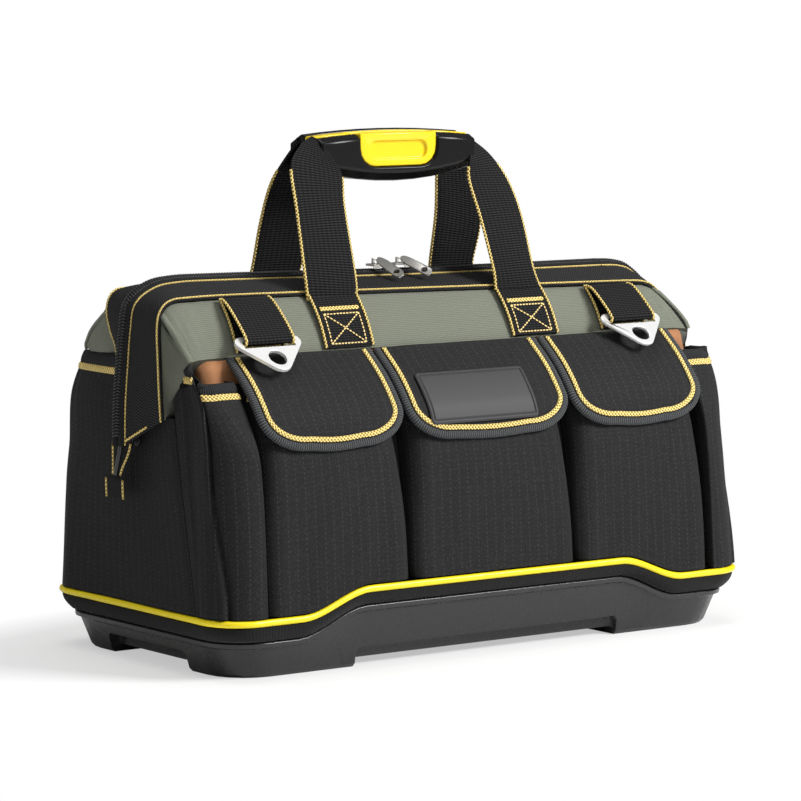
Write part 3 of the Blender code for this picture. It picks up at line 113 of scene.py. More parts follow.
class Finish:
    """A material in the making, with its shader, the surface's own coordinates and a way to add any node."""

    def __init__(self, name, colour, roughness, **more):
        self.material = bpy.data.materials.new(name)
        self.material.use_nodes = True
        self.tree = self.material.node_tree
        self.shader = self.tree.nodes["Principled BSDF"]
        self.set("Base Color", (*colour, 1.0))
        self.set("Roughness", roughness)
        for socket, value in more.items():
            self.set(socket.replace("_", " "), value)

    def set(self, socket, value):
        join(self.tree, value, self.shader.inputs[socket])

    def node(self, kind, settings=None, sockets=None):
        """Any node: its type, its settings, which come first, and the values or links of its sockets."""
        made = self.tree.nodes.new(kind)
        for key, value in (settings or {}).items():
            setattr(made, key, value)
        for key, value in (sockets or {}).items():
            join(self.tree, value, made.inputs[key])
        return made

    def across_and_along(self):
        """How far a point is across and along the cloth, in metres, from the piece's own map."""
        place = self.node("ShaderNodeUVMap", {"uv_map": "cloth"})
        parts = self.node("ShaderNodeSeparateXYZ", sockets={"Vector": place.outputs["UV"]})
        return Value(self.tree, parts.outputs["X"]), Value(self.tree, parts.outputs["Y"])

    def cloud(self, size, detail=2.0):
        """Soft random patches of about that size."""
        place = self.node("ShaderNodeTexCoord")
        sockets = {"Vector": place.outputs["Object"], "Scale": 1 / size, "Detail": detail}
        return Value(self.tree, self.node("ShaderNodeTexNoise", sockets=sockets).outputs["Fac"])

    def tint(self, share, first, second):
        """Colours the surface between two colours, by a share that varies over it."""
        sockets = {"Factor": share, 6: (*first, 1.0), 7: (*second, 1.0)}
        self.set("Base Color", self.node("ShaderNodeMix", {"data_type": "RGBA"}, sockets).outputs[2])

    def relief(self, height, depth):
        """Raises the surface by a height from 0 to 1 times a depth in metres."""
        bump = self.node("ShaderNodeBump", sockets={"Strength": 1.0, "Distance": depth, "Height": height})
        self.set("Normal", bump.outputs["Normal"])


def dressed(node, finish, body, edge):
    """A CAD piece with its triangles merged, its edges rounded and a finish, in the CAD piece's place."""
    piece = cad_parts[node]
    bm = bmesh.new()
    bm.from_mesh(piece.data)
    bmesh.ops.remove_doubles(bm, verts=bm.verts, dist=0.02 * mm)
    bmesh.ops.dissolve_limit(bm, angle_limit=math.radians(1), verts=bm.verts, edges=bm.edges)
    mesh = bpy.data.meshes.new(node + "_finished")
    bm.to_mesh(mesh)
    bm.free()
    mesh.shade_smooth()
    mesh.set_sharp_from_angle(angle=math.radians(35))
    mesh.materials.append(finish.material)
    made = bpy.data.objects.new(mesh.name, mesh)
    bpy.context.scene.collection.objects.link(made)
    bevel = made.modifiers.new("rounded edges", "BEVEL")
    bevel.width = edge
    bevel.segments = 2
    bevel.limit_method = "ANGLE"
    bevel.angle_limit = math.radians(35)
    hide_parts(node)
    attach(made, body)


moulded = Finish("moulded_black", (0.017, 0.017, 0.018), 0.27, Specular_IOR_Level=0.5)
moulded.relief(moulded.cloud(0.6 * mm, 3.0), 0.04 * mm)
moulded.set("Roughness", moulded.cloud(9 * mm) * 0.10 + 0.22)
dressed("base_tray", moulded, "bag", 0.7 * mm)


# The floor board is a stiff grey plate that lies loose on the tray.
board = Finish("floor_board_grey", (0.05, 0.05, 0.05), 0.7)
board.relief(board.cloud(1.5 * mm), 0.1 * mm)
dressed("floor_board", board, "bag", 0.4 * mm)


# A black binding tape, folded over the raw edge of the fabric, joins it to the tray's lip. It is fuzzy from
# the machine that sews it, and follows the lip's wave.
wave_in = 105 * mm
wave_out = 160 * mm


def smooth(share):
    """0 below 0, 1 above 1 and a smooth step between: three times the square less twice the cube."""
    share = np.clip(share, 0.0, 1.0)
    return share * share * (3 - 2 * share)


def ring(half_length, half_width, radius, low, high=None):
    """A level ring round the bag, as an array of points. It is a rounded rectangle, walked from the front's
    middle to the right. Its height goes from low to high by the smooth step of the wave over the long
    sides."""
    long = np.concatenate([np.linspace(0, 100, 11), np.linspace(104, 162, 16)]) * mm
    long = np.append(long, half_length - radius)
    corner = np.linspace(0, turn / 4, 10)[1:]
    short = np.linspace(radius - half_width, 0, 9)[1:]
    x = np.concatenate([long, half_length - radius + radius * np.sin(corner),
                        np.full(len(short), half_length)])
    y = np.concatenate([np.full(len(long), -half_width), radius - half_width - radius * np.cos(corner),
                        short])
    x, y = np.concatenate([x, x[-2::-1]]), np.concatenate([y, -y[-2::-1]])
    x, y = np.concatenate([x, -x[-2:0:-1]]), np.concatenate([y, y[-2:0:-1]])
    high = low if high is None else high
    on_long = np.abs(np.abs(y) - half_width) < 0.01 * mm
    share = smooth((wave_out - np.abs(x)) / (wave_out - wave_in)) * on_long
    return np.stack([x, y, low + (high - low) * share], axis=1)


def wrapped(grid, across_closed, along_closed):
    """A grid with its first column, its first row or both put again at its far side, where it is closed."""
    if across_closed:
        grid = np.concatenate([grid, grid[:, :1]], axis=1)
    if along_closed:
        grid = np.concatenate([grid, grid[:1]], axis=0)
    return grid


def quads(grid):
    """The four corners of each cell of a grid, going round it."""
    return np.stack([grid[:-1, :-1], grid[1:, :-1], grid[1:, 1:], grid[:-1, 1:]], axis=-1)


def travelled(line):
    """The distance along a line at each of its points."""
    return np.append(0, np.cumsum(np.linalg.norm(np.diff(line, axis=0), axis=1)))


def surface(name, grids, finish, body=None, thickness=0, angle=60, replaces=()):
    """One piece from grids of points. Each grid is (points, across_closed, along_closed, capped). Its rows
    run down and its points run to the right, seen from its face. The map "cloth" holds the distance across
    and along. Angle is the sharpest bend that is still shaded smooth, and thickness is grown inward."""
    vertices, faces, across, along, start = [], [], [], [], 0
    for points, across_closed, along_closed, capped in grids:
        rows, columns = points.shape[:2]
        index = np.arange(rows * columns).reshape(rows, columns) + start
        index = wrapped(index, across_closed, along_closed)
        whole = wrapped(points, across_closed, along_closed)
        step = np.linalg.norm(np.diff(whole, axis=1), axis=2).mean(axis=0)
        u = np.broadcast_to(np.append(0, np.cumsum(step)), index.shape)
        step = np.linalg.norm(np.diff(whole, axis=0), axis=2).mean(axis=1)
        v = np.broadcast_to(np.append(0, np.cumsum(step))[:, None], index.shape)
        faces += quads(index).reshape(-1, 4).tolist()
        across.append(quads(u).ravel())
        along.append(quads(v).ravel())
        for end, order in ((0, 1), (-1, -1)) if capped else ():
            faces.append(index[end, :columns][::order].tolist())
            across.append(u[end, :columns][::order])
            along.append(v[end, :columns][::order])
        vertices.append(points.reshape(-1, 3))
        start += rows * columns
    mesh = bpy.data.meshes.new(name)
    mesh.from_pydata(np.concatenate(vertices).tolist(), [], faces)
    layer = mesh.uv_layers.new(name="cloth")
    layer.data.foreach_set("uv", np.stack([np.concatenate(across), np.concatenate(along)], axis=1).ravel())
    mesh.shade_smooth()
    mesh.set_sharp_from_angle(angle=math.radians(angle))
    mesh.materials.append(finish.material)
    made = bpy.data.objects.new(name, mesh)
    bpy.context.scene.collection.objects.link(made)
    if thickness:
        wall = made.modifiers.new("thickness", "SOLIDIFY")
        wall.thickness = thickness
    if replaces:
        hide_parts(*replaces)
    if body:
        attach(made, body)
    return made


length, width = 220 * mm, 110 * mm
lip_low, lip_high = 25 * mm, 42 * mm
piping_low, piping_high = 38 * mm, 53 * mm
binding = Finish("binding_fuzz", (0.010, 0.010, 0.010), 0.95, Sheen_Weight=0.06, Specular_IOR_Level=0.2)
across, along = binding.across_and_along()
binding.relief(binding.cloud(0.9 * mm, 3.0) * 0.7 + across.wave(2.4 * mm) * 0.3, 0.5 * mm)
rows = []
for share in np.linspace(0, 1, 9):
    swell = math.sin(math.pi * share) * 1.2 * mm
    outset = -0.5 * mm - share * 4.6 * mm + swell
    top = (piping_low - 2.6 * mm, piping_high - 2.6 * mm)
    foot = (lip_low + 0.4 * mm, lip_high + 0.4 * mm)
    low, high = [a + (b - a) * share for a, b in zip(top, foot)]
    rows.append(ring(length + outset, width + outset, 28 * mm, low, high))
surface("binding_tape_cloth", [(np.array(rows), True, False, False)], binding, "bag", 2.5 * mm,
        replaces=["binding_tape"])


# A cord of bright yellow vinyl piping is sewn all round between the pockets and the binding.
vinyl = Finish("yellow_vinyl", (0.96, 0.76, 0.0), 0.38, Coat_Weight=0.15)
vinyl.relief(vinyl.cloud(3 * mm), 0.08 * mm)
rows = []
for angle in np.linspace(0, turn, 13)[:-1]:
    outset = -1.1 * mm + 2.2 * mm * math.cos(angle)
    lift = 2.3 * mm * math.sin(angle)
    rows.append(ring(length + outset, width + outset, 28 * mm, piping_low + lift, piping_high + lift))
surface("yellow_piping_cord", [(np.array(rows[::-1]), True, True, False)], vinyl, "bag",
        replaces=["yellow_piping"])


# The bag's inner wall is a padded tube. Its outer side is the pockets' lining: tan where it shows above their
# hems and black below. It is sewn to the tray at the foot.
heights = np.array([38.6, 60.9, 101.5, 121.8, 150.2, 168.5, 188.8, 203.0]) * mm
face_widths = np.array([110.0, 108.4, 105.1, 102.9, 96.8, 86.9, 72.1, 63.8]) * mm
face_lengths = np.array([220.0, 218.9, 217.4, 216.9, 215.6, 214.9, 213.8, 213.0]) * mm
wall_widths = np.array([97.4, 95.7, 91.3, 86.9, 79.2, 71.5, 61.1, 57.0]) * mm
wall_lengths = np.array([207.9, 207.9, 207.9, 207.2, 206.4, 205.5, 204.6, 203.9]) * mm


def drawn(where, stops, values):
    """A smooth line through stops: a cubic between each pair, with the neighbours' slope at each stop."""
    where = np.clip(where, stops[0], stops[-1])
    slope = np.gradient(values, stops)
    i = np.clip(np.searchsorted(stops, where) - 1, 0, len(stops) - 2)
    gap = stops[i + 1] - stops[i]
    t = (where - stops[i]) / gap
    return ((2 * t ** 3 - 3 * t ** 2 + 1) * values[i] + (t ** 3 - 2 * t ** 2 + t) * gap * slope[i]
            + (3 * t ** 2 - 2 * t ** 3) * values[i + 1] + (t ** 3 - t ** 2) * gap * slope[i + 1])


lining = Finish("tan_lining", (0.40, 0.175, 0.07), 0.85, Sheen_Weight=0.1)
place = lining.node("ShaderNodeTexCoord").outputs["Object"]
level = lining.node("ShaderNodeSeparateXYZ", sockets={"Vector": place}).outputs["Z"]
lining.tint(Value(lining.tree, level).above(184 * mm, 1 * mm), (0.008, 0.008, 0.0085), (0.40, 0.175, 0.07))
across, along = lining.across_and_along()
lining.relief((across + along).wave(1.1 * mm) * 0.5 + (across - along).wave(1.1 * mm) * 0.5, 0.12 * mm)
rows = []
for height in np.linspace(203, 26, 24) * mm:
    half_length = float(drawn(height, heights, wall_lengths))
    half_width = float(drawn(height, heights, wall_widths))
    round_off = (9 + 17 * float(smooth((198 * mm - height) / (60 * mm)))) * mm
    rows.append(ring(half_length, half_width, round_off, height))
rows.append(ring(203.4 * mm, 93.4 * mm, 29 * mm, 20 * mm))
wall = surface("inner_wall_cloth", [(np.array(rows), True, False, False)], lining, "bag", 3 * mm,
               replaces=["body_shell"])


# The pockets are sewn from black ripstop nylon. Three stand on the front and three on the rear, each with
# soft bellows sides. A folded grosgrain tape binds every mouth, with a woven gold band below it.
def facing(points):
    """The outward unit normals of a grid."""
    normals = np.cross(np.gradient(points, axis=0), np.gradient(points, axis=1))
    return normals / np.maximum(np.linalg.norm(normals, axis=2, keepdims=True), 1e-12)


def slab(points, thickness):
    """A sheet with a face, a back and closed edges, from the grid of its face."""
    back = points - facing(points) * thickness
    return np.concatenate([points, back[:, ::-1]], axis=1), True, False, True


def tape(path, up, half_width, half_height, sides=8):
    """A flat oval profile, in millimetres, carried along a path that lies on a surface."""
    angle = (np.arange(sides) + 0.5) * turn / sides
    profile = np.stack([half_width * mm * np.cos(angle), half_height * mm * np.sin(angle)], axis=1)
    across = np.cross(np.gradient(path, axis=0), up)
    across = across / np.linalg.norm(across, axis=1, keepdims=True)
    points = path[:, None] + across[:, None] * profile[None, :, :1] + up[:, None] * profile[None, :, 1:]
    return points, True, False, True


def cords(rows, out, lift, half_width, half_height):
    """A cord along each side of a strip, lifted off it by some millimetres."""
    return [tape(rows[:, i] + out[:, i] * lift * mm, out[:, i], half_width, half_height) for i in (0, -1)]


ripstop = Finish("black_ripstop", (0.009, 0.009, 0.0095), 0.75, Sheen_Weight=0.02, Specular_IOR_Level=0.22)
across, along = ripstop.across_and_along()
threads = across.wave(0.9 * mm) * 0.5 + along.wave(0.9 * mm) * 0.5
speckle = ripstop.cloud(0.7 * mm, 1.0)
dash = (along + (across * 37).sine() * 2 * mm).wave(3.1 * mm).above(0.55, 0.4)
line = across.wave(7.0 * mm).above(0.975, 0.04) * dash * 0.55
cross_line = along.wave(6.2 * mm).above(0.985, 0.03) * speckle * 0.2
grid = line.greater(cross_line)
shade = grid.greater(speckle.above(0.62, 0.12) * 0.45)
ripstop.tint(shade, (0.0075, 0.0075, 0.008), (0.048, 0.048, 0.050))
ripstop.relief(threads * 0.5 + grid * 0.6, 0.08 * mm)

grosgrain = Finish("black_grosgrain", (0.019, 0.020, 0.021), 0.8, Sheen_Weight=0.04, Specular_IOR_Level=0.3)
across, along = grosgrain.across_and_along()
ribs = along.wave(1.7 * mm) * (0.6 + grosgrain.cloud(0.9 * mm, 1.0) * 0.8)
grosgrain.tint(ribs, (0.009, 0.0095, 0.010), (0.082, 0.086, 0.090))
grosgrain.relief(ribs * 0.8 + across.wave(0.7 * mm) * 0.2, 0.28 * mm)

edging = Finish("black_edging", (0.012, 0.012, 0.013), 0.85, Specular_IOR_Level=0.2)
across, along = edging.across_and_along()
ribs = along.wave(1.3 * mm)
edging.tint(ribs, (0.005, 0.005, 0.0055), (0.036, 0.037, 0.039))
edging.relief(ribs, 0.2 * mm)

braid = Finish("gold_braid", (0.80, 0.56, 0.17), 0.45)
across, along = braid.across_and_along()
plait_relief_and_painted_light = (along + across * 0.9).wave(2.6 * mm) * 0.55 + (along - across * 0.9).wave(2.6 * mm) * 0.45
plait_relief_and_painted_light = plait_relief_and_painted_light * (0.7 + braid.cloud(1.3 * mm, 1.0) * 0.6)
# The braid's colour follows the plaits over its own gold. The dark brown between the plaits is painted shade,
# and the bright gold on their tops is painted highlight.
braid.tint(plait_relief_and_painted_light.above(0.42, 0.4), (0.24, 0.105, 0.008), (1.0, 0.80, 0.26))
braid.relief(plait_relief_and_painted_light, 0.6 * mm)

top_of = {"pouch": 188 * mm, "sleeve": 190 * mm, "end": 201.5 * mm}
splits = np.array([-186.0, -69.0, 69.0, 186.0]) * mm
half_turn = np.array([-1, -1, 1])
left_side = np.array([-1, 1, 1])


def below(rows, distance):
    """The line across a cloth that runs a distance below its top row, and its outward directions there."""
    step = np.linalg.norm(np.diff(rows, axis=0), axis=2).mean(axis=0)
    place = np.clip(distance / step, 0, len(rows) - 1.001)
    i = place.astype(int)
    share = (place - i)[:, None]
    column = np.arange(rows.shape[1])
    out = facing(rows)
    return [grid[i, column] * (1 - share) + grid[i + 1, column] * share for grid in (rows, out)]


def hem(name, rows, depth=3.4):
    """The bound mouth of a pocket: grosgrain folded over its top edge, and a gold band just under it. The
    depth is half the grosgrain's width, in millimetres."""
    path, out = below(rows, depth * mm)
    surface(name + "_binding", [tape(path - out * 0.8 * mm, out, depth + 0.7, 1.7, 12)], edging, "bag")
    path, out = below(rows, (depth * 2 + 2.4) * mm)
    surface(name + "_gold_band", [tape(path + out * 0.1 * mm, out, 2.4, 0.8, 10)], braid, "bag")


for number, (side, left, right) in enumerate(zip(("left", "centre", "right"), splits, splits[1:])):
    for where, sign in (("front", 1), ("rear", -1)):
        reach = right - left - 1.2 * mm
        share = np.linspace(0, 1, 81)
        share = share - 0.11 * np.sin(turn * share)
        wave = smooth((wave_out - np.abs(left + reach * share)) / (wave_out - wave_in))
        foot = piping_low + (piping_high - piping_low) * wave + 3.2 * mm
        level = np.linspace(0, 1, 48)[:, None]
        z = top_of["pouch"] + (foot[None] - top_of["pouch"]) * level
        inset = 5.0 * mm * (1 - smooth(level * 1.15)) + 0.3 * mm
        x = left + 0.6 * mm + inset + (reach - 2 * inset) * share[None]
        edge = np.minimum(share, 1 - share)[None] * reach
        stand = 0.10 + 0.90 * np.sqrt(1 - np.clip(1 - edge / (17 * mm), 0, 1) ** 2.6)
        wall_y = drawn(z, heights, wall_widths) + 0.8 * mm
        face_y = drawn(z, heights, face_widths)
        pillow = np.sin(np.pi * share)[None] * np.sin(np.pi * np.clip(level * 0.92 + 0.06, 0, 1)) * 1.8 * mm
        pleats = np.sin(edge / (6.0 * mm) + 0.4) * np.exp(-edge / (20 * mm)) * smooth((level - 0.2) / 0.8)
        slack = np.sin(17 * share[None] + 5 * level + number * 2.1)
        slack = slack * np.sin(3.1 * level + 7 * share[None] + number)
        y = wall_y + (face_y - wall_y) * stand + pillow * stand + pleats * 0.9 * mm + slack * 0.4 * mm
        rows = np.stack([x, -y, z], axis=2)
        rows[:, [0, -1], 1] = -(wall_y[:, [0, -1]] + 0.3 * mm)
        under = rows[-1:].repeat(2, axis=0)
        under[0, :, 1] = -(wall_y[-1] + (y[-1] - wall_y[-1]) * 0.55)
        under[1, :, 1] = -(wall_y[-1] + (y[-1] - wall_y[-1]) * 0.15)
        under[:, :, 2] -= 0.3 * mm
        mouth = rows[:, 4:-4]
        rows = np.concatenate([rows, under])
        name = f"{where}_pocket_{side}"
        if sign < 0:
            rows, mouth = rows * half_turn, mouth * half_turn
        pocket = surface(name + "_cloth", [slab(rows, 1.6 * mm)], ripstop, "bag", replaces=[name])
        hem(name, mouth)


# A narrow sleeve for pencils wraps each front corner, and a wide pocket covers the rest of each end. A crease
# runs down the corner itself. The left sleeve's mouth steps up round it, and both fall towards the leg.
def corner(height, start_x, end_y):
    """A level path from the wall out at start_x, along the face, round the front right corner of the body to
    end_y and back to the wall. Heights and end_y are columns. The corner is sharper higher up."""
    wall_y = drawn(height, heights, wall_widths) + 0.8 * mm
    wall_x = drawn(height, heights, wall_lengths) + 0.8 * mm
    face_y = drawn(height, heights, face_widths)
    face_x = drawn(height, heights, face_lengths)
    radius = 28 * mm - 18 * mm * smooth((height - 135 * mm) / (52 * mm))
    angle = np.linspace(0, turn / 4, 33)[None]
    side = np.linspace(0, 1, 5)[None]
    first = np.stack([start_x + 0 * side + 0 * height, -(wall_y + (face_y - wall_y) * side)], axis=2)
    run = np.linspace(0, 1, 9)[None, 1:-1]
    second = np.stack([start_x + (face_x - radius - start_x) * run, -face_y + 0 * run], axis=2)
    arc_x, arc_y = face_x - radius + radius * np.sin(angle), -face_y + radius - radius * np.cos(angle)
    arc = np.stack([arc_x, arc_y], axis=2)
    span = end_y - (radius - face_y)
    run = np.linspace(0, 1, 28)[None, 1:]
    third = np.stack([face_x + 0 * run, radius - face_y + span * run], axis=2)
    last = np.stack([face_x + (wall_x - face_x) * side[:, 1:], end_y + 0 * side[:, 1:]], axis=2)
    path = np.concatenate([first, second, arc, third, last], axis=1)
    path[:, 1:-1] = (path[:, :-2] + 2 * path[:, 1:-1] + path[:, 2:]) / 4
    return np.concatenate([path, np.broadcast_to(height[..., None], (*path.shape[:2], 1))], axis=2)


def end_seam(height):
    """Where the sleeve meets the end pocket, across the end."""
    return -76 * mm + 39 * mm * (height - 40.25 * mm) / (149.75 * mm)


foot_z = piping_low + 3.0 * mm
crease = 35
level = np.linspace(0, 1, 52)[:, None]
tall = np.linspace(206 * mm, foot_z, 84)[:, None]
mouth_row = {"sleeve": 8, "end": 4}
for side, sign in (("left", -1), ("right", 1)):
    for kind in ("sleeve", "end"):
        seam = end_seam(np.minimum(tall, 190 * mm))
        if kind == "sleeve":
            whole = corner(tall, 186.6 * mm, seam)
            mouth_y = whole[mouth_row[kind], :, 1]
            y_top = np.where(np.arange(whole.shape[1]) > crease, mouth_y, -80 * mm)
            raised = 10.5 * mm if side == "left" else 0
            fall = (raised + 1 * mm) * smooth((y_top + 50 * mm) / (1.5 * mm))
            fall = fall + np.maximum(y_top + 48.5 * mm, 0) * 1.1
            top = top_of[kind] + np.where(y_top > -80 * mm, raised - fall, 0)
            hems = [slice(4, crease), slice(crease + 2, int(np.argmax(y_top > -51 * mm)))]
        else:
            whole = corner(tall, 186.6 * mm, -seam - 0.6 * mm)
            whole[:, :, 1] *= -1
            whole = whole[:, ::-1]
            behind = smooth(whole[:, :, 1] / (60 * mm))
            whole[:, :, 1] += smooth((tall - 130 * mm) / (70 * mm)) * behind * 9 * mm
            mouth_y = whole[mouth_row[kind], :, 1]
            top = top_of[kind] - 36 * mm * smooth((2 * mm - mouth_y) / (20 * mm))
            hems = [slice(int(np.argmax(mouth_y > 4 * mm)), -4)]
        z = top[None] + (foot_z - top[None]) * level
        place = (tall[0, 0] - z) / (tall[0, 0] - foot_z) * (len(tall) - 1)
        i = np.clip(place.astype(int), 0, len(tall) - 2)
        part, column = (place - i)[..., None], np.arange(whole.shape[1])[None]
        rows = whole[i, column] * (1 - part) + whole[i + 1, column] * part
        out = facing(rows)
        share = np.linspace(0, 1, rows.shape[1])[None]
        swell = np.sin(np.pi * share) ** 0.7 * np.sin(np.pi * np.clip(level * 0.95 + 0.03, 0, 1))
        folds = np.sin(share * (17 if kind == "sleeve" else 23) + level * 1.5) * np.sin(3 * level + 1.0)
        folds = folds * np.minimum(np.minimum(share, 1 - share) * 9, 1)
        depth = swell * 1.2 * mm + folds * (0.4 if kind == "sleeve" else 0.8) * mm
        if kind == "sleeve":
            step = travelled(rows[len(level) // 2])
            middle = np.interp(crease - 7 * smooth((level - 0.4) / 0.6), np.arange(len(step)), step)
            aside = step[None] - middle
            depth = depth - 3.0 * mm * np.exp(-(aside / (1.7 * mm)) ** 2)
            depth = depth + 1.5 * mm * np.exp(-((aside - 6 * mm) / (4 * mm)) ** 2)
            dent = np.exp(-((aside - 26 * mm) / (9 * mm)) ** 2)
            depth = depth - 2.0 * mm * dent * smooth((1 - level) * 1.4)
        rows = rows + out * depth[..., None]
        if (side, kind) == ("right", "sleeve"):
            waist = np.sin(np.pi * np.clip((rows[..., 2] - foot_z) / (150 * mm), 0, 1)) ** 2
            rows[..., 0] -= 3.5 * mm * waist * smooth((rows[..., 0] - 186 * mm) / (24 * mm))
        mouths = [rows[:, part] for part in hems]
        inner = rows[-1:].copy()
        inner[..., 0] -= np.sign(out[-1:, :, 0]) * np.minimum(np.abs(out[-1:, :, 0]) * 8 * mm, 8 * mm)
        inner[..., 1] -= out[-1:, :, 1] * 8 * mm
        rows = np.concatenate([rows, inner])
        if sign < 0:
            rows = rows[:, ::-1] * left_side
            mouths = [mouth[:, ::-1] * left_side for mouth in mouths]
        name = f"corner_sleeve_{side}" if kind == "sleeve" else f"end_pocket_{side}"
        pocket = surface(name + "_cloth", [slab(rows, 1.6 * mm)], ripstop, "bag", replaces=[name])
        for mouth, label in zip(mouths, ("", "_fold")):
            hem(name + label, mouth, 3.4 if kind == "sleeve" else 4.2)


# Each front pocket has a padded flap, one piece from the top seam to its rounded foot. Grosgrain binds its
# edge and a gold braid is sewn on inside the binding. The middle one carries a blank rubber plate.
stops = np.linspace(0, 1, 5)
drops = np.array([0, 0.3, 0.61, 0.82, 1.0]) * 57 * mm
reaches = np.array([0, 0.47, 0.81, 0.94, 1.0]) * 43 * mm
fine = np.linspace(0, 1, 201)
fine_y = -60.1 * mm - drawn(fine, stops, reaches)
fine_z = 204.2 * mm - drawn(fine, stops, drops)
fine_length = np.append(0, np.cumsum(np.hypot(np.diff(fine_y), np.diff(fine_z))))
flap_length = fine_length[-1]


def on_flap(x, length, lift=0.0):
    """Points at x and at a length down a flap's face from the top seam, lifted off it, and their outward
    directions."""
    y = np.interp(length, fine_length, fine_y)
    z = np.interp(length, fine_length, fine_z)
    slope_y = np.interp(length, fine_length, np.gradient(fine_y, fine_length))
    slope_z = np.interp(length, fine_length, np.gradient(fine_z, fine_length))
    size = np.hypot(slope_y, slope_z)
    out = np.stack([0 * (x + y), slope_z / size + 0 * x, -slope_y / size + 0 * x], axis=-1)
    points = np.stack([x + 0 * y, y + 0 * x, z + 0 * x], axis=-1)
    return points + out * (np.asarray(lift) + 0 * y + 0 * x)[..., None], out


foot_wide, foot_tall = 34 * mm, 24 * mm


def flap_edge(left, right, inset, top=0.0):
    """The flap's outline, inset by a distance: down its left side, round its foot and up its right side."""
    wide, tall = foot_wide - inset, foot_tall - inset
    low = flap_length - inset
    straight = np.linspace(top, low - tall, 22)
    angle = np.linspace(0, turn / 4, 12)[1:]
    x = np.concatenate([np.full(22, left + inset), left + inset + wide - wide * np.cos(angle)])
    length = np.concatenate([straight, low - tall + tall * np.sin(angle)])
    middle = np.linspace(left + inset + wide, right - inset - wide, 22)[1:-1]
    x = np.concatenate([x, middle, left + right - x[::-1]])
    sag = 1.4 * mm * np.sin(np.pi * (middle - middle[0]) / (middle[-1] - middle[0]))
    length = np.concatenate([length, low + sag, length[::-1]])
    return x, np.minimum(length, flap_length)


folds = {"left": 0.335, "centre": 0.11, "right": 0.335}
for number, (side, left, right) in enumerate(zip(("left", "centre", "right"), splits, splits[1:])):
    left, right = left + 2.0 * mm, right - 2.0 * mm
    middle, half = (left + right) / 2, (right - left) / 2
    length = np.concatenate([np.linspace(0, 0.72, 26), np.linspace(0.74, 1, 16)]) * (flap_length - 1 * mm)
    rest = np.clip(1 - (flap_length - 1 * mm - length) / foot_tall, 0, 0.999)
    pull = foot_wide * (1 - np.sqrt(1 - rest ** 2)) * 0.96
    u = np.sin(np.linspace(-turn / 4, turn / 4, 49) * 0.94) / np.sin(turn / 4 * 0.94)
    x = middle + u[None] * (half - 1 * mm - pull[:, None])
    length = length[:, None] + 0 * x
    edge = np.minimum(np.minimum(x - left, right - x), flap_length - length)
    puff = 1 - np.exp(-edge / (9 * mm))
    ripple = np.sin(x / (11 * mm) + number * 2 + length / (17 * mm))
    ripple = ripple * np.sin(length / (13 * mm) + x / (31 * mm))
    lift = puff * 2.0 * mm + ripple * puff * 0.35 * mm - 0.6 * mm
    points, out = on_flap(x, length, lift)
    cloth = slab(points, 3.4 * mm)
    outer = tape(*on_flap(*flap_edge(left, right, 1.8 * mm), -1.3 * mm), 3.1, 2.3, 14)
    gold = tape(*on_flap(*flap_edge(left, right, 6.2 * mm, 1 * mm), 1.1 * mm), 1.75, 0.8, 10)
    fold, below_fold = [np.array([0, np.interp(place, fine, fine_y), np.interp(place, fine, fine_z)])
                        for place in (folds[side], folds[side] + 0.02)]
    down = (below_fold - fold) / np.linalg.norm(below_fold - fold)
    start, end = fold - down * 7 * mm, fold + down * 7 * mm
    body = f"flap_{side}"
    made = surface(body + "_cloth", [cloth], ripstop, replaces=[body, f"flap_head_{side}"])
    for piece in (made, surface(body + "_edge_tape", [outer], grosgrain),
                  surface(body + "_gold_braid", [gold], braid)):
        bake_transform(piece)


# The plate is a sheet of black rubber with a raised rim, sewn to the middle flap. Its face is bare.
rubber = Finish("plate_rubber", (0.040, 0.040, 0.042), 0.55, Specular_IOR_Level=0.3)
rubber.relief(rubber.cloud(0.5 * mm, 3.0), 0.05 * mm)
plate_left, plate_right, plate_top, plate_low = -51.5 * mm, 38 * mm, 187 * mm, 155.5 * mm
top_length, low_length = np.interp([-plate_top, -plate_low], -fine_z, fine_length)
down = np.linspace(0, 1, 81)[:, None]
length = top_length + (low_length - top_length) * down
to_end = np.minimum(down, 1 - down) * (low_length - top_length)
round_off = 3.5 * mm - np.sqrt(np.maximum((3.5 * mm) ** 2 - np.maximum(3.5 * mm - to_end, 0) ** 2, 0))
u = np.linspace(0, 1, 181)[None]
x = plate_left + round_off + (plate_right - plate_left - 2 * round_off) * u
to_side = np.minimum(u, 1 - u) * (plate_right - plate_left) + 0 * down
inside = np.minimum(to_side, to_end)
height = 2.2 + 0.8 * smooth(inside / (0.9 * mm)) - 0.7 * np.exp(-((inside - 2.6 * mm) / (0.4 * mm)) ** 2)
points, out = on_flap(x, length + 0 * x, height * mm)
surface("name_plate_rubber", [slab(points, 2.2 * mm)], rubber, "flap_centre", angle=40,
        replaces=["name_plate"])


# The upper panels are grey-green coated canvas. Each runs from the body's top seam up to its band. A welt
# stands on its corner seams, and behind them a gusset comes down beside the leg and folds inward.
canvas = Finish("grey_green_canvas", (0.19, 0.215, 0.165), 0.85, Sheen_Weight=0.08)
across, along = canvas.across_and_along()
weave = along.wave(1.1 * mm) * 0.6 + across.wave(0.9 * mm) * 0.4
blotch = canvas.cloud(0.9 * mm, 2.0)
canvas.tint(weave * 0.6 + blotch * 0.4, (0.090, 0.099, 0.071), (0.228, 0.242, 0.186))
canvas.relief(weave, 0.22 * mm)

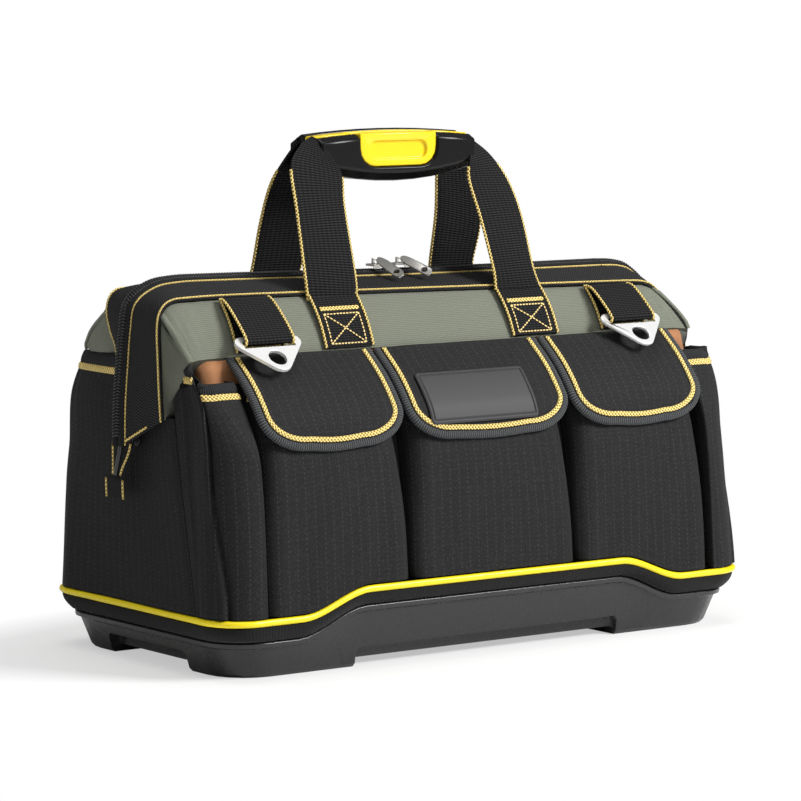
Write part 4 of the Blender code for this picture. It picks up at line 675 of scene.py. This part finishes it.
# The bands' edges and the panels' seam, from the left foot over the top to the right foot: x, distance from
# the middle, and z, in millimetres. The soft top leans left and sinks to the right.
outer_edge = np.array([
    [-219, 36, 164], [-221.5, 38, 184], [-223, 39, 205], [-223, 38, 222], [-220, 36, 233.5],
    [-212, 35, 240.5], [-196, 35, 242], [-150, 35, 242], [0, 35, 239.5], [150, 35, 236.5], [172, 35, 236],
    [184, 35, 235], [193, 35.5, 231.5], [204.5, 36.3, 220.5], [215, 37, 207], [221, 37.5, 187],
    [220, 36, 164]]) * mm
inner_edge = np.array([
    [-229.5, 5, 145], [-229, 5, 170], [-226.5, 5, 200], [-224.5, 5, 220], [-221, 5.5, 237.5], [-208, 6, 247],
    [-190, 6, 250.5], [-150, 6, 250.5], [0, 6, 247.5], [150, 6, 246.5], [170, 6, 246.3], [184, 6, 245.3],
    [195, 5.5, 241.5], [209, 5, 230], [219, 5, 213], [226.5, 5, 185], [229.5, 5, 145]]) * mm
seam_edge = np.array([
    [-213, 27, 166.5], [-213, 36, 176], [-212.5, 47, 187], [-212, 53, 196], [-211.5, 57, 203],
    [-204, 57, 204.2], [-190, 57, 204.6], [-148, 56.8, 204.6], [0, 56.7, 204.6], [148, 56.8, 204.6],
    [176, 57, 204.6], [194, 57, 204.2], [206.5, 57, 203], [209, 53, 196], [211, 47, 187], [213, 36, 176],
    [213, 27, 166.5]]) * mm
rear_outer_edge, rear_seam_edge = outer_edge.copy(), seam_edge.copy()
rear_outer_edge[:8] = np.array([
    [-217.5, 18, 164], [-217.3, 20, 184], [-217.6, 21.5, 206], [-219.5, 26, 218], [-219.5, 31, 232],
    [-212, 35.5, 242.5], [-198, 35.5, 244.5], [-150, 35, 243]]) * mm
rear_outer_edge[9:] = np.array([
    [150, 35, 238.5], [180, 35.5, 239.5], [199, 35.5, 240], [212, 35.5, 238.5], [219.5, 31, 229],
    [219.5, 26, 216], [217.5, 21, 190], [217.5, 18, 164]]) * mm
rear_seam_edge[:7] = np.array([
    [-208.5, 16, 166.5], [-208.5, 26, 176], [-209, 40, 188], [-211.5, 52, 197], [-214, 64, 203.5],
    [-207, 62, 204.4], [-190, 57.5, 204.6]]) * mm
counts = [9, 9, 8, 14, 9, 8, 12, 22, 22, 8, 8, 9, 14, 8, 9, 9]
key = np.concatenate([np.linspace(i, i + 1, count + 1)[:-1] for i, count in enumerate(counts)] + [[16.0]])
numbers = np.arange(17.0)
other_side = np.array([1, -1, 1])


def along_keys(keys, line=drawn):
    """A line through keys, on the front. It is smooth, or with np.interp it keeps its corners."""
    return np.stack([line(key, numbers, keys[:, i]) for i in range(3)], axis=1) * other_side


def mirrored(parts):
    """The same grids on the other side of the bag's middle."""
    return {kind: [(points[:, ::-1] * other_side, *rest) for points, *rest in grids]
            for kind, grids in parts.items()}


inner = along_keys(inner_edge)
edges_of = {"front": (along_keys(outer_edge), along_keys(seam_edge, np.interp)),
            "rear": (along_keys(rear_outer_edge), along_keys(rear_seam_edge, np.interp))}
mouth_ahead = np.gradient(inner, axis=0) * np.array([1, 0, 1])
mouth_out = np.cross(mouth_ahead, np.array([0, 1.0, 0]))
mouth_out = mouth_out / np.linalg.norm(mouth_out, axis=1, keepdims=True)
to_foot = np.minimum(key, 16 - key)
on_end = 1 - smooth((to_foot - 3.3) / 0.9)
for where, sign in (("front", -1), ("rear", 1)):
    level = np.linspace(0, 1, 19)[:, None, None]
    outer, seam = edges_of[where]
    panel_top = outer + (seam - outer) * 0.02 - mouth_out * 1.6 * mm + np.array([0, 1.5, 0]) * mm
    rows = panel_top[None] + (seam - panel_top)[None] * level
    level = level[..., 0]
    arc = np.sin(np.pi * level)
    bulge = 2.2 * arc * (1 - on_end)
    gusset = arc ** 1.5 * on_end * smooth((to_foot - 1.2) / 1.8)
    if where == "front":
        fold = np.exp(-((to_foot - 3.70 - 0.1 * level) / 0.12) ** 2)
        bulge = bulge - 3.5 * gusset - fold * 5.5 * np.minimum(1, level * 5) * (1 - level ** 3)
    else:
        bulge = bulge + 2.5 * gusset - 4.5 * np.sqrt(arc) * on_end * (1 - smooth((to_foot - 2.2) / 1.2))
    wrinkle = np.sin(key * 9 + level * 4) * np.sin(key * 3.7 - level * 3) * 0.35 * arc
    ridge = np.exp(-((to_foot - 3.92) / 0.12) ** 2) * 1.8 * np.minimum(1, arc * 3)
    rows = rows + facing(rows) * ((bulge + wrinkle + ridge) * mm)[..., None]
    out = facing(rows)
    parts = {"cloth": [slab(rows, 1.4 * mm)], "seam": []}
    for corner_key, toward in ((4.0, 0.14), (12.0, -0.14)):
        i, j = np.abs(key - corner_key).argmin(), np.abs(key - corner_key - toward).argmin()
        parts["cloth"].append(tape(rows[:, i] + out[:, i] * 0.5 * mm, out[:, i], 2.0, 1.1, 10))
        parts["seam"].append(tape(rows[:, j] + out[:, j] * 0.6 * mm, out[:, j], 0.5, 0.4, 6))
    if where == "rear":
        parts = mirrored(parts)
    for (kind, grids), finish, old in zip(parts.items(), (canvas, ripstop), ([f"upper_panel_{where}"], [])):
        made = surface(f"upper_panel_{where}_{kind}", grids, finish, replaces=old)
        y = sign * mm
        56.7 * y
        35.6 * y
        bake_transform(made)


# The bands are black twill over the spring-steel half frames, with a gold cord sewn along both edges and
# across their slanted feet. Each half frame ends in an eye round its pin. A zip runs between the bands, down
# to both pins, and its sliders and pulls are cast and plated.
steel = Finish("blackened_steel", (0.05, 0.05, 0.055), 0.45, Metallic=0.6)
nickel = Finish("nickel_plate", (0.66, 0.64, 0.60), 0.22, Metallic=0.65)
nickel.set("Roughness", nickel.cloud(4 * mm) * 0.14 + 0.16)
twill = Finish("black_twill", (0.02, 0.02, 0.021), 0.8, Specular_IOR_Level=0.14)
across, along = twill.across_and_along()
slant = along.wave(11 * mm).above(0.5, 0.05) * 2 - 1
diagonal = (across + along * slant).wave(2.0 * mm)
mottle = 0.5 + twill.cloud(0.8 * mm)
twill.tint(diagonal * mottle, (0.003, 0.003, 0.0033), (0.043, 0.043, 0.0445))
twill.relief(diagonal, 0.25 * mm)
coil_plastic = Finish("zip_plastic", (0.012, 0.012, 0.013), 0.22)
zip_cloth = Finish("zip_tape_cloth", (0.010, 0.010, 0.011), 0.85, Specular_IOR_Level=0.25)
across, along = zip_cloth.across_and_along()
zip_cloth.relief(along.wave(0.8 * mm), 0.12 * mm)
coil_line = inner * np.array([1, 0, 1]) + mouth_out * 3.0 * mm
steps = travelled(coil_line)
share = np.linspace(0, 1, 9)[:, None, None]


def held(points, row):
    """A line along the band at a fractional row."""
    i = min(int(row), 7)
    return points[i] * (1 - (row - i)) + points[i + 1] * (row - i)


for where, flip in (("front", 1), ("rear", -1)):
    body = f"{where}_frame"
    band_rows = inner[None] + (edges_of[where][0] - inner)[None] * share
    band_rows = band_rows + facing(band_rows) * (np.sin(np.pi * share) * 1.0 * mm)
    band_out = facing(band_rows)
    face = slab(band_rows, 1.8 * mm)
    under = slab(band_rows[2:7, 1:-1] - band_out[2:7, 1:-1] * 2.0 * mm, 1.2 * mm)
    eyes = []
    for i, end in ((4, -1), (-5, 1)):
        angle = np.arange(24) * turn / 24
        circle = np.stack([0 * angle, np.cos(angle), -end * np.sin(angle)], axis=1)
        hub = np.array([end * 223.0, 0, 148.0]) * mm
        sizes = ((3.4, 0.2), (6.5, 0.2), (6.5, 1.4), (3.4, 1.4))
        eye = [hub + circle * radius * mm + np.array([end * off * mm * flip, 0, 0]) for radius, off in sizes]
        eyes.append((np.array(eye), True, True, False))
    gold = []
    for row in (0.35, 7.6):
        up = held(band_out, row)
        gold.append(tape(held(band_rows, row) + up * 0.3 * mm, up, 0.72, 0.65))
    for column in (1, -2):
        line, up = band_rows[:6, column], band_out[:6, column]
        gold.append(tape(line + up * 0.3 * mm, up, 0.8, 0.6))
    beside = coil_line + np.array([0, -3.6, 0]) * mm - mouth_out * 2.1 * mm
    zip_tape = tape(beside, mouth_out, 3.2, 1.7, 12)
    number = int(steps[-1] / (2.1 * mm))
    place = 6 * mm + (np.arange(number) + (0.75 if flip > 0 else 0.25)) * (steps[-1] - 12 * mm) / number
    centre = np.stack([np.interp(place, steps, coil_line[:, i]) for i in range(3)], axis=1)
    up = np.stack([np.interp(place, steps, mouth_out[:, i]) for i in range(3)], axis=1)
    up = up / np.linalg.norm(up, axis=1, keepdims=True)
    ahead = np.cross(np.array([0, 1.0, 0]), up)
    station = np.linspace(0, 1, 6)
    girth = np.sqrt(np.clip(1 - (2 * station - 1) ** 2 * 0.9, 0, 1)) * 1.0 * mm
    angle = np.arange(8) * turn / 8
    loop_y = -(0.1 + 3.4 * station) * mm
    lean = -(station - 0.5) * 0.9 * mm
    rise = np.sin(np.pi * station) * 1.3 * mm - 0.9 * mm
    teeth = (centre[:, None, None]
             + up[:, None, None] * (rise[:, None] + girth[:, None] * np.sin(angle))[None, ..., None]
             + ahead[:, None, None] * (lean[:, None] + girth[:, None] * np.cos(angle))[None, ..., None]
             + np.array([0, 1.0, 0]) * (loop_y[:, None] + 0 * angle)[None, ..., None])[:, :, ::-1]
    parts = {"band": [face], "steel": [under, *eyes], "gold": gold, "tape": [zip_tape],
             "teeth": [(tooth, True, False, True) for tooth in teeth]}
    if flip < 0:
        parts = mirrored(parts)
    surface(f"mouth_band_{where}_cloth", parts["band"], twill, body, angle=50,
            replaces=[f"mouth_band_{where}"])
    surface(f"mouth_frame_{where}_strip", parts["steel"], steel, body, angle=40,
            replaces=[f"mouth_frame_{where}"])
    surface(f"mouth_band_{where}_gold", parts["gold"], braid, body)
    surface(f"zip_tape_{where}_cloth", parts["tape"], zip_cloth, body, replaces=[f"zip_tape_{where}"])
    surface(f"zip_coil_{where}_teeth", parts["teeth"], coil_plastic, body, replaces=[f"zip_coil_{where}"])
for side in ("left", "right"):
    dressed(f"pivot_pin_{side}", steel, "bag", 0.4 * mm)
    dressed(f"slider_{side}", nickel, f"slider_{side}", 0.5 * mm)

# A pull is a flat tab with round ends and a round hole, that hangs from its slider over the front band.
for side, root, tip in (("left", [-23.5, -2.5, 259.0], [-19.5, -25.0, 248.5]),
                        ("right", [-3.5, -2.5, 259.0], [5.5, -24.0, 249.0])):
    root, tip = np.array(root) * mm, np.array(tip) * mm
    ahead = (tip - root) / np.linalg.norm(tip - root)
    aside = np.cross(ahead, np.array([-0.45, -0.55, 0.7]))
    aside = aside / np.linalg.norm(aside)
    up = np.cross(aside, ahead)
    angle = np.arange(48) * turn / 48
    reach = np.linalg.norm(tip - root)
    cosine, sine = np.cos(angle), np.sin(angle)
    rim = np.stack([reach / 2 + reach / 2 * np.sign(cosine) * np.abs(cosine) ** 0.45,
                    (3.4 + 0.9 * cosine) * mm * np.sign(sine) * np.abs(sine) ** 0.6], axis=1)
    slot = np.stack([reach * 0.80 + 2.3 * mm * cosine, 2.3 * mm * sine], axis=1)
    rings = [(slot, -0.5), (rim * [1, 0.93] + [reach * 0.01, 0], -0.8), (rim, -0.5), (rim, 0.5),
             (rim * [1, 0.93] + [reach * 0.01, 0], 0.8), (slot, 0.5)]
    points = np.array([root + flat[:, :1] * ahead + flat[:, 1:] * aside + up * t * mm for flat, t in rings])
    surface(f"pull_{side}_tab", [(points, True, True, False)], nickel, f"pull_{side}", angle=35,
            replaces=[f"pull_{side}"])

# Each free end of the zip narrows as it hangs from the pivot, down to a folded tab with gold edges.
for side, end in (("left", -1), ("right", 1)):
    t = np.linspace(0, 1, 31)[:, None]
    u = np.linspace(-1, 1, 9)[None]
    tab = smooth((t - 0.62) * 40)
    middle_y = (1.0 + 6.5 * smooth(t * 1.3)) * mm
    half = (10.5 - 6.0 * smooth(t * 1.6)) * (1 - tab) * mm + 10.0 * mm * tab
    y = middle_y + u * half
    x = (227.4 + 0.6 * np.sin(np.pi * t) - 0.4 * u ** 2 + 1.4 * tab) * mm
    rows = np.stack([end * (x + 0 * y), y, (147 - 37 * t) * mm + 0 * y], axis=2)
    if end < 0:
        rows = rows[:, ::-1]
    out = facing(rows)
    gold = []
    for part in (slice(0, 19), slice(20, 31)):
        gold += cords(rows[part], out[part], 0.2, 0.8, 0.7)
    coil = tape(rows[:19, 4] + out[:19, 4] * 0.6 * mm, out[:19, 4], 1.9, 1.3, 10)
    surface(f"zip_tail_{side}_cloth", [slab(rows, 1.0 * mm)], zip_cloth, "bag",
            replaces=[f"zip_tail_{side}"])
    surface(f"zip_tail_{side}_gold", gold, braid, "bag")
    surface(f"zip_tail_{side}_coil", [coil], coil_plastic, "bag")


# Webbing: the sewn feet of the handles, the rings' loops and the handle straps. It is black polypropylene
# with a basket weave, 38 mm wide, and a gold cord runs along both edges. A crossed box of stitches holds
# each foot.
webbing = Finish("black_webbing", (0.016, 0.016, 0.017), 0.8, Specular_IOR_Level=0.12)
across, along = webbing.across_and_along()
ribs = along.wave(1.7 * mm) * (across.wave(3.1 * mm) * 0.55 + 0.45)
webbing.tint(ribs, (0.002, 0.002, 0.0022), (0.033, 0.033, 0.034))
webbing.relief(ribs, 0.4 * mm)
thread = Finish("gold_thread", (0.66, 0.42, 0.10), 0.55)
across, along = thread.across_and_along()
stitch = along.wave(2.6 * mm).above(0.25, 0.25)
thread.tint(stitch, (0.03, 0.022, 0.01), (0.85, 0.62, 0.22))
thread.relief(stitch, 0.3 * mm)


def on_panel(x, share, stand_off, sunk):
    """Places on the front panel, from the top seam to the band, standing off it, and their outward
    directions. The band's edge has sunk there by a distance."""
    low, top = np.array([-56.7, 204.6]) * mm, np.array([-35.6, 240.5]) * mm
    direction = top - low
    out = np.array([-direction[1], direction[0]]) / np.linalg.norm(direction)
    share = np.asarray(share, dtype=float)
    lift = 2.4 * mm * np.sin(np.pi * share)[..., None] + stand_off
    yz = low + direction * share[..., None] + out * lift
    points = np.stack([x + 0 * share, yz[..., 0] + 0 * x, yz[..., 1] - share * sunk + 0 * x], axis=-1)
    return points, np.broadcast_to([0, *out], points.shape)


def sewn(name, grids, finish, sign, replaces=()):
    """A piece on the front or the rear panel, turned round for the rear, with its place baked into its
    points.
    """
    if sign > 0:
        grids = [(points * half_turn, *rest) for points, *rest in grids]
    made = surface(name, grids, finish, replaces=replaces)
    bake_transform(made)


strip_x = np.linspace(-19, 19, 9)[None] * mm
mouth_x = np.array([-150, 0, 150]) * mm
mouth_sunk = np.array([0, 2.5, 5.5]) * mm
for where, sign in (("front", -1), ("rear", 1)):
    for side, middle in (("left", -86 * mm), ("right", 70 * mm)):
        centre = middle * -sign
        sunk = np.interp(middle, mouth_x, mouth_sunk)
        name = f"handle_patch_{side}_{where}"
        rows, out = on_panel(centre + strip_x, np.linspace(0.99, 0.02, 18)[:, None], 2.2 * mm, sunk)
        sewn(name + "_webbing", [slab(rows, 1.6 * mm)], webbing, sign, [name])
        lines = []
        for x0, share0, x1, share1 in ((-14, 0.60, 14, 0.60), (-14, 0.08, 14, 0.08), (-14, 0.60, -14, 0.08),
                                       (14, 0.60, 14, 0.08), (-14, 0.60, 14, 0.08), (14, 0.60, -14, 0.08)):
            t = np.linspace(0, 1, 14)
            x = centre + (x0 + (x1 - x0) * t) * mm
            line, up = on_panel(x, share0 + (share1 - share0) * t, 2.5 * mm, sunk)
            lines.append(tape(line, up, 0.5, 0.3, 6))
        sewn(name + "_stitches", lines, thread, sign)
        line, up = on_panel(centre + np.linspace(-15.5, 15.5, 14) * mm, np.full(14, 0.70), 2.6 * mm, sunk)
        sewn(name + "_gold", [*cords(rows, out, 0.2, 0.95, 0.9), tape(line, up, 1.5, 0.6)], braid, sign)

# A ring plate hangs before the front panel at each end. Its loop goes round the ring's bar: the back layer is
# sewn down the panel, and the front layer comes out from under the band's edge.
for side, middle in (("left", -156.5 * mm), ("right", 147.5 * mm)):
    name = f"ring_strip_{side}"
    sunk = np.interp(middle, mouth_x, mouth_sunk)
    rows, out = on_panel(middle + strip_x, np.linspace(0.99, 0.04, 18)[:, None], 2.0 * mm, sunk)
    sewn(name + "_webbing", [slab(rows, 1.5 * mm)], webbing, -1, [name])
    line, up = on_panel(middle + np.linspace(-16, 16, 14) * mm, np.full(14, 0.10), 2.3 * mm, sunk)
    sewn(name + "_gold", [*cords(rows, out, 0.2, 0.95, 0.9), tape(line, up, 1.2, 0.5)], braid, -1)
    t = np.linspace(0, 1, 26)
    stations = np.linspace(0, 1, 7)
    loop_y = drawn(t, stations, np.array([-39.5, -46.0, -56.5, -65.5, -68.0, -66.5, -62.5]) * mm)
    loop_z = drawn(t, stations, np.array([241.0, 237.5, 228.5, 219.5, 215.2, 212.6, 212.2]) * mm)
    loop_z = loop_z - sunk * (1 - t) ** 2
    x = middle + np.linspace(-18.5, 18.5, 9)[None] * mm
    rows = np.stack([x + 0 * loop_y[:, None], loop_y[:, None] + 0 * x, loop_z[:, None] + 0 * x], axis=2)
    surface(f"ring_loop_{side}_webbing", [slab(rows, 1.5 * mm)], webbing, "ring_loops",
            replaces=[f"ring_loop_{side}"])
    surface(f"ring_loop_{side}_gold", cords(rows, facing(rows), 0.1, 0.95, 0.9), braid, "ring_loops")

polished = Finish("polished_steel", (0.97, 0.97, 0.97), 0.34, Metallic=0.55)
for side in ("left", "right"):
    dressed(f"ring_{side}", polished, f"ring_{side}", 0.7 * mm)

# The straps rise from their feet, lean in over the bag and fold inward at the top, into the ends of the grip.
# Each edge is given by six points from the foot up, in millimetres, the left edge first, seen from its face.
strap_edges = {
    "left_front": (
        [[-105.5, -38.6, 236.6], [-107, -37, 255], [-107.7, -29, 296], [-107, -21.5, 325], [-95, -14, 338],
         [-81, -7, 343.6]],
        [[-66.5, -38.6, 236.6], [-66.5, -37.5, 251], [-68, -27, 297], [-66, -21.5, 318], [-74, -20.5, 331],
         [-79.5, -15, 340]]),
    "right_front": (
        [[51, -38.6, 236.6], [50, -37, 251], [46, -28, 285], [41, -21.5, 311], [42, -20.5, 325],
         [47.6, -15, 337]],
        [[89, -38.6, 236.6], [83.5, -37, 252], [82, -26, 286], [76, -18.5, 310], [65, -12, 328],
         [49, -7, 341]]),
    "left_rear": (
        [[-66.5, 38.6, 236.6], [-61, 36, 252], [-60, 28, 286], [-60, 21.5, 310], [-70, 20.5, 327],
         [-79.5, 13, 338]],
        [[-105, 38.6, 236.6], [-100, 37, 252.5], [-98, 29, 286], [-94, 22, 312], [-86, 14, 331],
         [-80, 5.5, 343]]),
    "right_rear": (
        [[89, 38.6, 236.6], [86, 36, 250], [88, 30, 277], [80, 22, 308], [67, 13, 329], [49, 6, 341]],
        [[51, 38.6, 236.6], [49, 36, 250], [48, 28, 285], [44, 21.5, 311], [44, 20, 324], [47.6, 13, 336]]),
}
place = np.linspace(0, 5, 51)
for name, edge_keys in strap_edges.items():
    where = name.split("_")[1]
    left, right = [np.stack([drawn(place, np.arange(6.0), axis * mm) for axis in np.array(keys).T], axis=1)
                   for keys in edge_keys]
    u = np.linspace(0, 1, 11)[None, :, None]
    rows = (left[:, None] * (1 - u) + right[:, None] * u)[::-1]
    out = facing(rows)
    rows = rows + out * np.sin(np.pi * u) * 0.8 * mm
    flat = rows[:, 5, 2] < 321 * mm
    piece = f"handle_strap_{name}"
    surface(piece + "_webbing", [slab(rows, 1.6 * mm)], webbing, f"{where}_handle", replaces=[piece])
    surface(piece + "_gold", cords(rows[flat], out[flat], -0.7, 1.0, 1.1), braid, f"{where}_handle")


# The grip is moulded of glossy plastic in two halves, black over a yellow core. A yellow button sits in the
# front half's window.
yellow = Finish("yellow_plastic", (0.93, 0.66, 0.004), 0.3, Coat_Weight=0.1)
glossy = Finish("grip_black", (0.004, 0.004, 0.0045), 0.26, Specular_IOR_Level=0.24)
dressed("grip_front_shell", glossy, "front_handle", 1.2 * mm)
dressed("grip_rear_shell", glossy, "rear_handle", 1.2 * mm)
dressed("grip_core", yellow, "rear_handle", 0.8 * mm)
dressed("grip_button", yellow, "grip_button", 0.8 * mm)


# The studio: a plain white floor that keeps the shadow near the bag, soft light from above and both sides, a
# white world, and the photograph's camera.
floor_finish = Finish("studio_floor", (0.97, 0.97, 0.97), 0.9)
ground = bpy.data.meshes.new("floor")
ground.from_pydata([(-30, -30, 0), (30, -30, 0), (30, 30, 0), (-30, 30, 0)], [], [(0, 1, 2, 3)])
ground.materials.append(floor_finish.material)
floor = bpy.data.objects.new("floor", ground)
bpy.context.scene.collection.objects.link(floor)
place = floor_finish.node("ShaderNodeTexCoord").outputs["Object"]
sockets = {0: place, 1: (0.5, 1.0, 1.0)}
place = floor_finish.node("ShaderNodeVectorMath", {"operation": "MULTIPLY"}, sockets).outputs[0]
distance = floor_finish.node("ShaderNodeVectorMath", {"operation": "LENGTH"}, {0: place}).outputs["Value"]
distance = Value(floor_finish.tree, distance)
seen = Value(floor_finish.tree, floor_finish.node("ShaderNodeLightPath").outputs["Is Camera Ray"])
glow = floor_finish.node("ShaderNodeEmission", sockets={"Strength": 1.0})
plain = distance.above(0.175, 0.11).greater(0.5) * seen
blend = floor_finish.node("ShaderNodeMixShader", sockets={0: plain})
floor_finish.tree.links.new(floor_finish.shader.outputs[0], blend.inputs[1])
floor_finish.tree.links.new(glow.outputs[0], blend.inputs[2])
floor_finish.tree.links.new(blend.outputs[0], floor_finish.tree.nodes["Material Output"].inputs["Surface"])

world = bpy.data.worlds.new("studio")
world.use_nodes = True
bpy.context.scene.world = world
background = world.node_tree.nodes["Background"]
background.inputs["Color"].default_value = (1.0, 1.0, 1.0, 1.0)
seen = Value(world.node_tree, world.node_tree.nodes.new("ShaderNodeLightPath").outputs["Is Camera Ray"])
join(world.node_tree, seen * 0.83 + 0.17, background.inputs["Strength"])


def lamp(name, place, aim, size, power):
    """A square soft box at a place, aimed at a point."""
    light = bpy.data.lights.new(name, "AREA")
    light.shape = "SQUARE"
    light.size = size
    light.energy = power
    made = bpy.data.objects.new(name, light)
    made.location = place
    made.rotation_mode = "QUATERNION"
    made.rotation_quaternion = (Vector(aim) - Vector(place)).to_track_quat("-Z", "Y")
    bpy.context.scene.collection.objects.link(made)


lamp("key", (1.5, -2.1, 1.9), (0, 0, 0.15), 1.2, 113)
lamp("top", (-0.2, 0.2, 2.4), (0, 0, 0.1), 1.8, 26)
lamp("left_fill", (-2.4, -0.8, 1.0), (0, 0, 0.15), 1.4, 2.5)

camera = bpy.data.cameras.new("camera")
camera.sensor_width = 36
camera.lens = 185.26
camera.shift_x = -0.0030
camera.shift_y = 0.0248
eye = bpy.data.objects.new("camera", camera)
eye.location = (-1.66079, -2.26669, 0.46220)
around, tilt = math.radians(36.23), math.radians(6.41)
eye.rotation_euler = (turn / 4 - tilt, 0, -around)
bpy.context.scene.collection.objects.link(eye)
bpy.context.scene.camera = eye
bpy.context.scene.view_settings.view_transform = "Standard"
